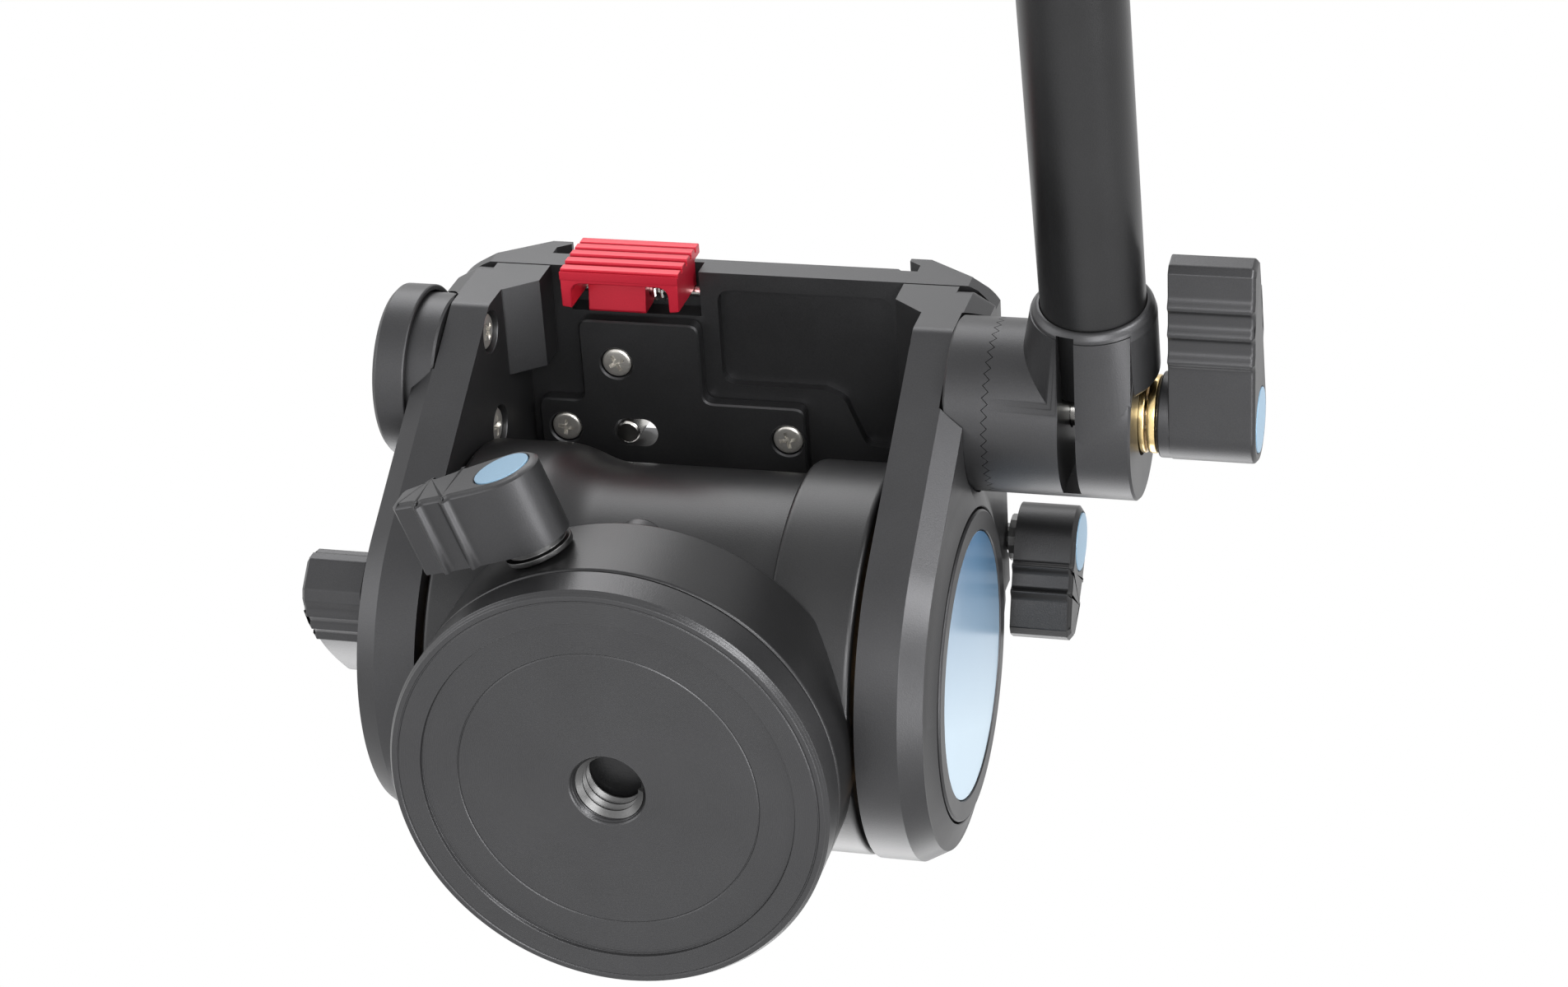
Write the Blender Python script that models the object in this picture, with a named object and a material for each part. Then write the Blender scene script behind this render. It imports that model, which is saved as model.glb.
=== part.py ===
"""Compact two-arm fluid head: base, pan housing, tilt cradle with platform, locks and pan bar.

Frame: origin at the centre of the base's underside, +X to the right seen from behind, +Y to the front,
+Z up. Lengths below are millimetres; MM turns them into metres.
"""
from math import cos, hypot, pi, radians, sin, tan

import bmesh
import bpy
from mathutils import Matrix, Vector

MM = 0.001
GAP = 0.3

# base, fixed to the tripod
BASE_R = 30.0
BASE_H = 6.0
BASE_STEP_R = 25.4
BASE_STEP = 0.5
BASE_DISC_R = 20.4
THREAD_MINOR_R = 4.0
THREAD_SINK_R = 5.0
THREAD_DEPTH = 12.5
BOSS_R = 7.7
BOSS_TOP = 14.0
SCREW_CIRCLE = 13.5
SPINDLE_FLANGE_R = 17.0
SPINDLE_R = 10.0
SPINDLE_THREAD_R = 7.0
SPINDLE_TOP = 28.5
ROTOR_R = 16.5
NUT_R = 11.4

# pan housing
PAN_Z0 = BASE_H + GAP
PAN_Z1 = 19.4
PAN_R = BASE_R
AXIS_Z = 39.8
DRUM_R = 27.0
WAIST_R = 24.8
DRUM_X = 29.7
DRUM_STEP_X = 17.8
DRUM_BORE_R = 21.0
SPRING_BORE_R = 20.0
CORE_BORE_R = 13.0
DRAG_X0 = 15.3
DRAG_X1 = 26.1
SPRING_X0 = -24.9
SPRING_X1 = -14.5
LEVEL = (0.7, -26.0, 0.0)
LEVEL_R = 3.4

# tilt axle and arms
AXLE_R = 7.0
ARM_X0 = 30.5
ARM_X1 = 36.3
ARM_X2 = 39.4
ARM_END_R = 27.3
ARM_INSET = 1.7
ARM_TOP = 70.4
ARM_REAR = -42.8
ARM_REAR_ANGLE = radians(212.6)
ARM_FRONT_ANGLE = radians(48.5)
CAP_BAND_X = ARM_X2 + 1.1
CAP_IN_X = ARM_X2 - 0.2
CAP_R = 21.5
DISC_R = 18.5

# platform
FLOOR_Z0 = ARM_TOP + GAP
FLOOR_Z1 = 75.2
RAIL_Z1 = 78.9
RAIL_X = 25.2
SEAT_X = 24.2
SIDE_X = 39.4
PLATE_Z0 = 68.3
PLATFORM_FRONT = 33.0
FRONT_X = 35.0
FRONT_CORNER_R = 8.0
PIN = (-15.7, -17.8)
RELEASE_Y = -39.3
RELEASE_Z = 71.8
RELEASE_X0 = -22.3
RELEASE_X1 = -4.9

# rosette hubs and pan bar
HUB_Y = -31.6
HUB_Z = 57.0
HUB_R = 12.0
HUB_X0 = 36.4
TOOTH_X = 42.1
LEFT_TOOTH_X = 41.1
TOOTH_H = 0.9
TEETH = 45
LEFT_HUB_R = 11.2
COVER_R = 12.3
HUB_SCREWS = ((HUB_Y - 7.3, HUB_Z - 1.3), (HUB_Y + 7.5, HUB_Z - 1.3))
CLAMP_X1 = 62.0
SLOT_X0 = 52.2
SLOT_X1 = 54.7
BAR_X = 56.0
BAR_R = 7.1
BAR_WALL = 1.2
BAR_DROP = radians(12)
BAR_START = 6.2
BAR_MOUTH = 19.0
MOUTH_R = 8.5
GRIP_START = 126.0
GRIP_R = 12.9
BAR_LENGTH = 250.0
BOLT_R = 2.3
BOLT_IN_X = 34.6

# wing levers
PAN_LOCK_AZIMUTH = radians(250)
PAN_LOCK_Z = 12.9
PAN_LOCK_R = PAN_R + 2.2
TILT_LOCK_X = 41.3
TILT_LOCK_ANGLE = radians(224)
PLATE_LOCK_X = 41.1
PLATE_LOCK_Y = -2.2
PLATE_LOCK_Z = 73.0
PLATE_LOCK_ANGLE = radians(-38)
KNOB_X = 66.2
KNOB_ANGLE = radians(187)
KNOB_BOSS = -1.6

FINISHES = {
    "black_satin": ((0.05, 0.05, 0.055), 0.42, 0.85),
    "charcoal": ((0.11, 0.11, 0.115), 0.38, 0.9),
    "steel": ((0.72, 0.72, 0.70), 0.25, 1.0),
    "dark_steel": ((0.20, 0.20, 0.21), 0.35, 1.0),
    "brass": ((0.83, 0.66, 0.36), 0.28, 1.0),
    "red": ((0.70, 0.03, 0.06), 0.42, 0.6),
    "blue": ((0.05, 0.16, 0.36), 0.12, 0.2),
    "pale_blue": ((0.55, 0.68, 0.78), 0.25, 0.3),
    "bronze": ((0.55, 0.38, 0.20), 0.4, 1.0),
    "grey_polymer": ((0.35, 0.35, 0.36), 0.55, 0.0),
    "vial": ((0.55, 0.75, 0.25), 0.05, 0.0),
    "foam": ((0.03, 0.03, 0.03), 0.9, 0.0),
}

for item in list(bpy.data.objects):
    bpy.data.objects.remove(item, do_unlink=True)


def finish(name):
    """The Principled material of a finish, made once."""
    if name in bpy.data.materials:
        return bpy.data.materials[name]
    colour, roughness, metallic = FINISHES[name]
    material = bpy.data.materials.new(name)
    material.use_nodes = True
    shader = material.node_tree.nodes["Principled BSDF"]
    shader.inputs["Base Color"].default_value = (*colour, 1.0)
    shader.inputs["Roughness"].default_value = roughness
    shader.inputs["Metallic"].default_value = metallic
    return material


def pivot(name, at, turn=None):
    """An empty on a joint's axis, at a place in millimetres."""
    empty = bpy.data.objects.new(name, None)
    bpy.context.collection.objects.link(empty)
    matrix = Matrix.Translation(Vector(at) * MM)
    empty.matrix_world = matrix @ turn if turn else matrix
    return empty


def lever_pivot(name, at, outward, pointing):
    """An empty on a lever's hub axis: its X runs outwards and its Y along the wing."""
    x = Vector(outward).normalized()
    y = Vector(pointing).normalized()
    return pivot(name, at, Matrix((x, y, x.cross(y))).transposed().to_4x4())


def in_side_plane(angle):
    """Direction in the Y-Z plane, counted from +Y towards +Z."""
    return 0, cos(angle), sin(angle)


def place(name, body, look, holder=None, local=False):
    """Link a body under a pivot. Its points are world millimetres, or the pivot's own where local is set."""
    mesh = bpy.data.meshes.new(name)
    body.to_mesh(mesh)
    body.free()
    mesh.transform(Matrix.Diagonal((MM, MM, MM, 1)))
    if holder and not local:
        mesh.transform(holder.matrix_world.inverted())
    mesh.shade_smooth()
    mesh.set_sharp_from_angle(angle=radians(30))
    piece = bpy.data.objects.new(name, mesh)
    if look:
        mesh.materials.append(finish(look))
    piece.parent = holder
    bpy.context.collection.objects.link(piece)
    return piece


def boolean(target, tool, operation="DIFFERENCE", holder=None):
    """Cut or join a piece with a guide body; with a holder the body is in that pivot's own frame."""
    guide = place(f"{target.name}_guide_{len(target.modifiers)}", tool, None, holder, local=holder is not None)
    guide.hide_render = True
    guide.display_type = "WIRE"
    change = target.modifiers.new(operation.lower(), "BOOLEAN")
    change.operation = operation
    change.solver = "EXACT"
    change.object = guide


def skin(rings, closed=False):
    """A body through rings of equal length, capped at both ends unless the rings close on themselves."""
    bm = bmesh.new()
    loops = [[bm.verts.new(p) for p in ring_points] for ring_points in rings]
    count = len(loops[0])
    spans = len(loops) if closed else len(loops) - 1
    for i in range(spans):
        a = loops[i]
        b = loops[(i + 1) % len(loops)]
        for k in range(count):
            j = (k + 1) % count
            bm.faces.new((a[k], a[j], b[j], b[k]))
    if not closed:
        bm.faces.new(list(reversed(loops[0])))
        bm.faces.new(loops[-1])
    bmesh.ops.triangulate(bm, faces=[f for f in bm.faces if len(f.verts) > 4], ngon_method="BEAUTY")
    bmesh.ops.recalc_face_normals(bm, faces=bm.faces)
    return bm


def turned(profile, axis="Z", centre=(0, 0, 0), steps=48):
    """A turned body from (radius, height) points; a profile that starts and ends on the axis is solid."""
    bm = bmesh.new()
    # the first corner lies off the axes, so that no two turned bodies share an edge line
    angles = [2 * pi * (k + 0.37) / steps for k in range(steps)]
    columns = []
    for radius, height in profile:
        if radius < 1e-6:
            columns.append([bm.verts.new((0, 0, height))])
        else:
            columns.append([bm.verts.new((radius * cos(a), radius * sin(a), height)) for a in angles])
    pairs = list(zip(columns, columns[1:]))
    if len(columns[0]) > 1:
        pairs.append((columns[-1], columns[0]))
    for a, b in pairs:
        for k in range(steps):
            j = (k + 1) % steps
            if len(a) == 1:
                bm.faces.new((a[0], b[j], b[k]))
            elif len(b) == 1:
                bm.faces.new((a[k], a[j], b[0]))
            else:
                bm.faces.new((a[k], a[j], b[j], b[k]))
    bmesh.ops.recalc_face_normals(bm, faces=bm.faces)
    if axis == "X":
        bm.transform(Matrix(((0, 0, 1, 0), (1, 0, 0, 0), (0, 1, 0, 0), (0, 0, 0, 1))))
    bm.transform(Matrix.Translation(Vector(centre)))
    return bm


def ring(inner, outer, low, high, edge=0.0, **where):
    """A turned ring, its outer edges chamfered by edge."""
    if edge:
        return turned([(inner, low), (outer - edge, low), (outer, low + edge), (outer, high - edge),
                       (outer - edge, high), (inner, high)], **where)
    return turned([(inner, low), (outer, low), (outer, high), (inner, high)], **where)


def disc(outer, low, high, edge=0.0, **where):
    """A turned solid cylinder, its edges chamfered by edge."""
    if edge:
        return turned([(0, low), (outer - edge, low), (outer, low + edge), (outer, high - edge),
                       (outer - edge, high), (0, high)], **where)
    return turned([(0, low), (outer, low), (outer, high), (0, high)], **where)


def block(low, high):
    """A box between two corners."""
    bm = bmesh.new()
    bmesh.ops.create_cube(bm, size=1.0)
    size = Vector(high) - Vector(low)
    bm.transform(Matrix.Translation((Vector(high) + Vector(low)) / 2) @ Matrix.Diagonal((*size, 1)))
    return bm


def inset(outline, amount):
    """The outline with each corner moved inwards along its bisector."""
    area = sum(a[0] * b[1] - b[0] * a[1] for a, b in zip(outline, outline[1:] + outline[:1]))
    turn = 1 if area > 0 else -1
    result = []
    for i, here in enumerate(outline):
        before = outline[i - 1]
        after = outline[(i + 1) % len(outline)]
        first = (here[0] - before[0], here[1] - before[1])
        second = (after[0] - here[0], after[1] - here[1])
        n1 = (-first[1] * turn / hypot(*first), first[0] * turn / hypot(*first))
        n2 = (-second[1] * turn / hypot(*second), second[0] * turn / hypot(*second))
        nx, ny = n1[0] + n2[0], n1[1] + n2[1]
        scale = amount / max(0.35, nx * n1[0] + ny * n1[1])
        result.append((here[0] + nx * scale, here[1] + ny * scale))
    return result


def prism(outline, low, high, plane="YZ", edge=0.0):
    """An outline pulled along the plane's normal; edge chamfers the far end."""
    def lift(points, height):
        if plane == "YZ":
            return [(height, a, b) for a, b in points]
        if plane == "XZ":
            return [(a, height, b) for a, b in points]
        return [(a, b, height) for a, b in points]
    if not edge:
        return skin([lift(outline, low), lift(outline, high)])
    sign = 1 if high > low else -1
    return skin([lift(outline, low), lift(outline, high - sign * edge), lift(inset(outline, edge), high)])


def merged(*bodies):
    """Several closed bodies in one mesh, kept as separate solids."""
    result = bodies[0]
    for extra in bodies[1:]:
        scratch = bpy.data.meshes.new("scratch")
        extra.to_mesh(scratch)
        extra.free()
        result.from_mesh(scratch)
        bpy.data.meshes.remove(scratch)
    return result


def coil(radius, wire, turns, low, high, points=10, sides=6):
    """A helix of round wire about +X."""
    steps = int(turns * points)
    rings = []
    for i in range(steps + 1):
        t = 2 * pi * turns * i / steps
        centre = Vector((low + (high - low) * i / steps, radius * cos(t), radius * sin(t)))
        tangent = Vector(((high - low) / (2 * pi * turns), -radius * sin(t), radius * cos(t))).normalized()
        outward = Vector((0, cos(t), sin(t)))
        other = tangent.cross(outward)
        rings.append([tuple(centre + wire * (cos(2 * pi * k / sides) * outward + sin(2 * pi * k / sides) * other))
                      for k in range(sides)])
    pitch = (high - low) / turns
    print(f"coil radius {radius}: least gap between turns {pitch - 2 * wire:.2f} mm")
    return skin(rings)


def wing(hub_r, reach, tip, power, ridges, rise, width, power_below=None, shrink=0.0):
    """Outline of a wing lever along +A: a round hub, sides drawing in to the tip, ridges on both sides.

    shrink gives the plain outline that much smaller, for the chamfered outer end.
    """
    plain = [reach * i / 8 for i in range(1, 8)]
    stations = [(s, 0.0) for s in plain if s < reach - 1.2 and all(abs(s - at) > width for at in ridges)]
    for at in ridges:
        stations += [(at - width / 2, 0.0), (at, rise), (at + width / 2, 0.0)]

    def side(bend):
        def half(s):
            return tip + (hub_r - tip) * (1 - (s / reach) ** bend) - shrink
        points = [(s, half(s) + (0.0 if shrink else bump)) for s, bump in sorted(stations)]
        return points + [(reach - 0.9 - shrink / 2, half(reach - 0.9)), (reach - shrink, max(0.6, tip - 0.9 - shrink))]
    below = [(a, -b) for a, b in reversed(side(power_below or power))]
    r = hub_r - shrink
    return side(power) + below + [(r * cos(t), r * sin(t)) for t in (3 * pi / 2 - pi * i / 12 for i in range(13))]


def wing_lever(name, look, holder, depth, edge, hole_r, hole_depth, inlay_r, boss=None, **shape):
    """A wing lever and its inlay disc in the holder's frame: the hub axis is +X, the wing points along +Y.

    boss is the radius and inner end of a round boss on the hub's inner side.
    """
    full = wing(**shape)
    small = wing(shrink=edge, **shape)
    rings = [[(x, a, b) for a, b in outline] for x, outline in ((0.0, full), (depth - edge, full), (depth, small))]
    piece = place(name, skin(rings), look, holder, local=True)
    if boss:
        boolean(piece, disc(boss[0], boss[1], 0.6, axis="X", steps=40), "UNION", holder=holder)
    boolean(piece, disc(hole_r, -3.0, hole_depth, axis="X", steps=24), holder=holder)
    boolean(piece, disc(inlay_r + GAP, depth - 0.5, depth + 1.0, axis="X", steps=32), holder=holder)
    place(name.rsplit("_", 1)[0] + "_inlay", disc(inlay_r, depth - 0.2, depth + 0.15, axis="X", steps=32),
          "pale_blue", holder, local=True)


# joint axes
PAN = pivot("pan_axis", (0, 0, 0))
TILT = pivot("tilt_axis", (0, 0, AXIS_Z))
BAR = pivot("bar_axis", (0, HUB_Y, HUB_Z))
RELEASE = pivot("release_axis", (0, RELEASE_Y, RELEASE_Z))
radial = Vector((cos(PAN_LOCK_AZIMUTH), sin(PAN_LOCK_AZIMUTH), 0))
PAN_LOCK = lever_pivot("pan_lock_axis", radial * PAN_LOCK_R + Vector((0, 0, PAN_LOCK_Z)), radial,
                       (radial.y, -radial.x, 0))
TILT_LOCK = lever_pivot("tilt_lock_axis", (-TILT_LOCK_X, 0, AXIS_Z), (-1, 0, 0), in_side_plane(TILT_LOCK_ANGLE))
PLATE_LOCK = lever_pivot("plate_lock_axis", (PLATE_LOCK_X, PLATE_LOCK_Y, PLATE_LOCK_Z), (1, 0, 0),
                         in_side_plane(PLATE_LOCK_ANGLE))
KNOB = lever_pivot("knob_axis", (KNOB_X, HUB_Y, HUB_Z), (1, 0, 0), in_side_plane(KNOB_ANGLE))
bpy.context.view_layer.update()
ON_TILT = {"axis": "X", "centre": (0, 0, AXIS_Z)}
ON_HUB = {"axis": "X", "centre": (0, HUB_Y, HUB_Z)}

# base flange with its threaded hole, and the spindle screwed on top
flange = place("base_flange", turned([
    (0, THREAD_DEPTH), (THREAD_MINOR_R, THREAD_DEPTH), (THREAD_MINOR_R, BASE_STEP + 1.2),
    (THREAD_SINK_R, BASE_STEP + 0.2), (BASE_DISC_R, BASE_STEP + 0.2), (BASE_DISC_R + 0.2, BASE_STEP),
    (BASE_STEP_R, BASE_STEP), (BASE_STEP_R + 0.1, 0), (BASE_R - 0.5, 0), (BASE_R, 0.9), (BASE_R, BASE_H - 0.3),
    (BASE_R - 0.3, BASE_H), (BOSS_R, BASE_H), (BOSS_R, BOSS_TOP), (0, BOSS_TOP)], steps=60), "charcoal")
spots = [(SCREW_CIRCLE * cos(radians(a)), SCREW_CIRCLE * sin(radians(a)), 0) for a in (90, 210, 330)]
boolean(flange, merged(*[disc(1.8, 2.2, BASE_H + 1, centre=at, steps=16) for at in spots]))
spindle = place("pan_spindle", turned([
    (0, BOSS_TOP + GAP), (BOSS_R + GAP, BOSS_TOP + GAP), (BOSS_R + GAP, PAN_Z0), (SPINDLE_FLANGE_R, PAN_Z0),
    (SPINDLE_FLANGE_R, 8.6), (SPINDLE_R, 8.6), (SPINDLE_R, 16.2), (SPINDLE_THREAD_R, 16.2),
    (SPINDLE_THREAD_R, SPINDLE_TOP - 0.6), (SPINDLE_THREAD_R - 0.6, SPINDLE_TOP), (0, SPINDLE_TOP)],
    steps=32), "steel")
boolean(spindle, merged(*[turned([(0, 5.5), (1.8, 5.5), (1.8, 7.0), (2.9, 8.1), (2.9, 9.5), (0, 9.5)],
                                 centre=at, steps=16) for at in spots]))
for i, at in enumerate(spots):
    place(f"spindle_screw_{i + 1}", turned([(0, 2.6), (1.5, 2.6), (1.5, 7.0), (2.6, 8.1), (2.6, 8.5), (0, 8.5)],
                                           centre=at, steps=16), "dark_steel")
place("pan_drag_rotor", ring(SPINDLE_R + GAP, ROTOR_R, 8.9, 15.9, steps=28), "bronze")
place("thrust_washer", ring(SPINDLE_THREAD_R + GAP, 12.0, 21.9, 22.9, steps=28), "steel")
place("spindle_nut", ring(SPINDLE_THREAD_R + GAP, NUT_R, 23.2, 27.6, edge=0.5, steps=6 * 4), "dark_steel")

# pan housing: upright cylinder with the drum across it
housing = place("pan_housing", disc(PAN_R, PAN_Z0, PAN_Z1, edge=0.35, steps=56), "black_satin", PAN)
slope = [(WAIST_R + (DRUM_R - WAIST_R) * (0.5 + 0.5 * cos(pi * i / 4)), -19.0 + 9.0 * i / 4) for i in range(5)]
drum = [(0, -DRUM_X), (DRUM_R - 0.7, -DRUM_X), (DRUM_R, -DRUM_X + 0.7)] + slope + [
    (WAIST_R, DRUM_STEP_X), (DRUM_R, DRUM_STEP_X + 0.02), (DRUM_R, DRUM_X - 0.7), (DRUM_R - 0.7, DRUM_X), (0, DRUM_X)]
boolean(housing, turned(drum, steps=56, **ON_TILT), "UNION")
boolean(housing, turned([(0, 0), (ROTOR_R + 0.8, 0), (ROTOR_R + 0.8, 16.2), (10.3, 16.2), (10.3, 21.6), (12.6, 21.6),
                         (12.6, AXIS_Z), (0, AXIS_Z)], steps=48))
boolean(housing, turned([(0, -40), (SPRING_BORE_R, -40), (SPRING_BORE_R, -13.0), (CORE_BORE_R, -13.0),
                         (CORE_BORE_R, 15.0), (DRUM_BORE_R, 15.0), (DRUM_BORE_R, 40), (0, 40)], steps=48, **ON_TILT))
place("pan_bush", ring(SPINDLE_THREAD_R + GAP, 10.0, 16.5, 21.3, steps=28), "bronze", PAN)

# round level on the rear ledge
boolean(housing, disc(LEVEL_R - 0.2, 16.9, PAN_Z1 + 1, centre=LEVEL, steps=28))
place("level_ring", turned([(2.6, 17.2), (LEVEL_R - 0.5, 17.2), (LEVEL_R - 0.5, PAN_Z1 + GAP), (LEVEL_R, PAN_Z1 + GAP),
                            (LEVEL_R, 22.1), (LEVEL_R - 0.4, 22.5), (2.6, 22.5)], centre=LEVEL, steps=28), "charcoal", PAN)
place("level_vial", turned([(0, 17.2), (2.3, 17.2), (2.3, 22.0), (1.6, 22.3), (0, 22.4)], centre=LEVEL, steps=24),
      "vial", PAN)

# pan lock: wing lever on a stud, stepped collar against the wall, shoe on the rotor
boolean(housing, disc(2.4, -19.0, 3.0, axis="X", steps=20), holder=PAN_LOCK)
wing_lever("pan_lock_lever", "charcoal", PAN_LOCK, 10.6, 0.7, 2.3, 7.5, 3.8,
           hub_r=5.0, reach=16.4, tip=2.4, power=1.6, ridges=(7.4, 11.8), rise=0.55, width=1.3)
place("pan_lock_stud", turned([(0, -12.6), (2.0, -12.6), (2.0, -1.9), (4.7, -1.9), (4.7, -1.1), (4.0, -1.1),
                               (4.0, -0.3), (2.0, -0.3), (2.0, 7.2), (0, 7.2)], axis="X", steps=18),
      "dark_steel", PAN_LOCK, local=True)
place("pan_lock_shoe", disc(2.1, ROTOR_R + GAP - PAN_LOCK_R, -12.9, axis="X", steps=20), "brass", PAN_LOCK, local=True)

# tilt bushes, drag cartridge and counterbalance spring in the drum
for side, sign, seat_r in (("right", 1, DRUM_BORE_R), ("left", -1, SPRING_BORE_R)):
    low, high = sorted((sign * 26.4, sign * (DRUM_X + 0.8)))
    place(f"tilt_bush_{side}", ring(AXLE_R + GAP, seat_r - GAP, low, high, steps=28, **ON_TILT), "bronze", PAN)
place("tilt_drag_cartridge", ring(AXLE_R + 1.5, DRUM_BORE_R - GAP, DRAG_X0, DRAG_X1, steps=28, **ON_TILT), "grey_polymer", PAN)
spring = coil(SPRING_BORE_R - 6.0, 1.2, 3.5, SPRING_X0, SPRING_X1)
spring.transform(Matrix.Translation((0, 0, AXIS_Z)))
place("counterbalance_spring", spring, "dark_steel", PAN)

# tilt axle and the two arms
axle = place("tilt_axle", disc(AXLE_R, -38.4, 38.4, edge=0.6, steps=30, **ON_TILT), "steel", TILT)
boolean(axle, disc(3.3, -39, -30, steps=20, **ON_TILT))


def arm_outline(shrink, top):
    """Side outline of an arm: a round end on the tilt axis, its two tangents and the platform's rear corner."""
    r = ARM_END_R - shrink
    steps = 26
    sweep = ARM_FRONT_ANGLE + 2 * pi - ARM_REAR_ANGLE
    points = [(r * cos(ARM_REAR_ANGLE + sweep * i / steps), AXIS_Z + r * sin(ARM_REAR_ANGLE + sweep * i / steps))
              for i in range(steps + 1)]
    points.append((r / cos(ARM_FRONT_ANGLE) - (top - AXIS_Z) * tan(ARM_FRONT_ANGLE), top))
    rear = ARM_REAR + shrink

    def rear_line(y):
        return AXIS_Z + (r - y * cos(ARM_REAR_ANGLE)) / sin(ARM_REAR_ANGLE)
    points += [(rear, top), (rear, rear_line(rear) + 2.4), (rear + 0.4, rear_line(rear) + 0.8),
               (rear + 1.5, rear_line(rear + 1.5))]
    return points


for side, sign in (("right", 1), ("left", -1)):
    rings = [(ARM_X0, 0.0, ARM_TOP), (ARM_X1, 0.0, ARM_TOP), (ARM_X2, ARM_INSET, ARM_TOP - 2.3)]
    arm = place(f"{side}_arm", skin([[(sign * x, y, z) for y, z in arm_outline(s, top)] for x, s, top in rings]),
                "charcoal", TILT)
    band = ((0, ARM_X2 - 0.6), (ARM_END_R - 2.1, ARM_X2 - 0.6), (ARM_END_R - 1.85, ARM_X2 - 0.1), (CAP_R + 0.5, CAP_BAND_X),
            (0, CAP_BAND_X))
    boolean(arm, turned([(r, sign * x) for r, x in band], steps=48, **ON_TILT), "UNION")
    lip = [(sign * 26.0, ARM_TOP - 0.05), (sign * 26.0, 65.4), (sign * 30.2, 62.2), (sign * 32.0, 60.8),
           (sign * 32.0, ARM_TOP - 0.05)]
    boolean(arm, prism(lip, ARM_REAR + 0.05, -29.4, "XZ"), "UNION")

    bore = ((0, 29), (AXLE_R + GAP, 29), (AXLE_R + GAP, ARM_X2 - 0.5), (CAP_R + GAP, ARM_X2 - 0.5), (CAP_R + GAP, 45),
            (0, 45))
    boolean(arm, turned([(r, sign * x) for r, x in bore], steps=48, **ON_TILT))
    hub_r = HUB_R if sign > 0 else LEFT_HUB_R
    seat = ((0, 33.6), (BOLT_R + GAP, 33.6), (BOLT_R + GAP, HUB_X0 - GAP), (hub_r + GAP, HUB_X0 - GAP), (hub_r + GAP, 45),
            (0, 45))
    boolean(arm, turned([(r, sign * x) for r, x in seat], steps=48, **ON_HUB))
    boolean(arm, merged(*[turned([(r, sign * x) for r, x in ((0, 29), (3.0, 29), (3.0, 32.3), (1.8, 33.4), (1.8, 38), (0, 38))],
                                 axis="X", centre=(0, y, z), steps=24) for y, z in HUB_SCREWS]))
    shape = ((0, 30.9), (2.3, 30.9), (2.7, 31.2), (2.7, 32.1), (1.5, 33.1), (1.5, 39.6), (0, 39.6))
    for i, (y, z) in enumerate(HUB_SCREWS):
        place(f"hub_screw_{side}_{i + 1}", turned([(r, sign * x) for r, x in shape], axis="X", centre=(0, y, z), steps=14),
              "steel", TILT)

# side caps: the right one carries the glossy disc, the left one lets the lock stud through
rim = CAP_BAND_X + 0.3
place("right_cap", turned([(0, CAP_IN_X), (CAP_R, CAP_IN_X), (CAP_R, rim - 0.2), (CAP_R - 0.3, rim),
                           (DISC_R + 0.4, rim), (DISC_R + 0.3, rim - 0.85), (0, rim - 0.85)], steps=48, **ON_TILT),
      "charcoal", TILT)
place("right_cap_disc", disc(DISC_R, CAP_BAND_X - 0.25, CAP_BAND_X + 0.1, steps=48, **ON_TILT), "blue", TILT)
place("left_cap", turned([(5.2, -CAP_IN_X), (5.2, 0.1 - CAP_BAND_X), (CAP_R - 0.3, 0.1 - CAP_BAND_X),
                          (CAP_R, 0.4 - CAP_BAND_X), (CAP_R, -CAP_IN_X)], steps=48, **ON_TILT), "charcoal", TILT)

# tilt lock on the left end of the axle
wing_lever("tilt_lock_lever", "charcoal", TILT_LOCK, 8.8, 0.7, 3.3, 6.5, 4.6,
           hub_r=7.5, reach=21.0, tip=3.1, power=1.5, power_below=3.2, ridges=(13.2, 15.7, 18.2), rise=0.45, width=1.1)
place("tilt_lock_stud", turned([(0, -10.9), (3.0, -10.9), (3.0, -2.0), (4.6, -2.0), (4.6, -0.3), (3.0, -0.3), (3.0, 6.2),
                                (0, 6.2)], axis="X", steps=16), "dark_steel", TILT_LOCK, local=True)

# platform: floor with two rails, plan trimmed, pockets underneath
half = [(36.5, FLOOR_Z0), (SIDE_X, 68.6), (SIDE_X, 72.0), (37.6, 73.0), (35.4, 73.6), (28.2, RAIL_Z1),
        (RAIL_X, RAIL_Z1), (RAIL_X, RAIL_Z1 - 0.8), (RAIL_X + 1.8, FLOOR_Z1 + 1.5),
        (RAIL_X + 1.8, FLOOR_Z1 - 0.5), (SEAT_X + 0.4, FLOOR_Z1 - 0.5), (SEAT_X, FLOOR_Z1)]
platform = place("platform", prism(half + [(-x, z) for x, z in reversed(half)], ARM_REAR, PLATFORM_FRONT, "XZ"),
                 "charcoal", TILT)
reach_y = PLATFORM_FRONT + 1
plan = [(34.2, ARM_REAR - 1), (SIDE_X + 1, ARM_REAR + 2.5), (SIDE_X + 1, 4.0), (FRONT_X, 8.4)]
plan += [(FRONT_X - FRONT_CORNER_R * (1 - cos(t)), PLATFORM_FRONT - FRONT_CORNER_R * (1 - sin(t)))
         for t in (radians(15 * i) for i in range(6))]
plan += [(FRONT_X - FRONT_CORNER_R, reach_y)]
boolean(platform, prism(plan + [(-x, y) for x, y in reversed(plan)], 60, 90, "XY"), "INTERSECT")
for sign, hub_r in ((1, HUB_R), (-1, LEFT_HUB_R)):
    low, high = sorted((sign * (HUB_X0 - GAP), sign * 45))
    boolean(platform, disc(hub_r + GAP, low, high, steps=48, **ON_HUB))
pocket = [(-1.5, -40.2), (22.4, -40.2), (24.2, -38.4), (24.2, -18.2), (22.6, -16.6), (20.4, -16.6), (19.0, -18.0),
          (17.6, -21.2), (15.6, -24.0), (13.2, -25.3), (0.6, -25.3), (-1.5, -27.2)]
boolean(platform, prism(pocket, 60, FLOOR_Z0 + 1.6, "XY"))
boolean(platform, block((-23.4, ARM_REAR - 1, 60), (-4.0, -35.9, RELEASE_Z + 2.3)))
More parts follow.
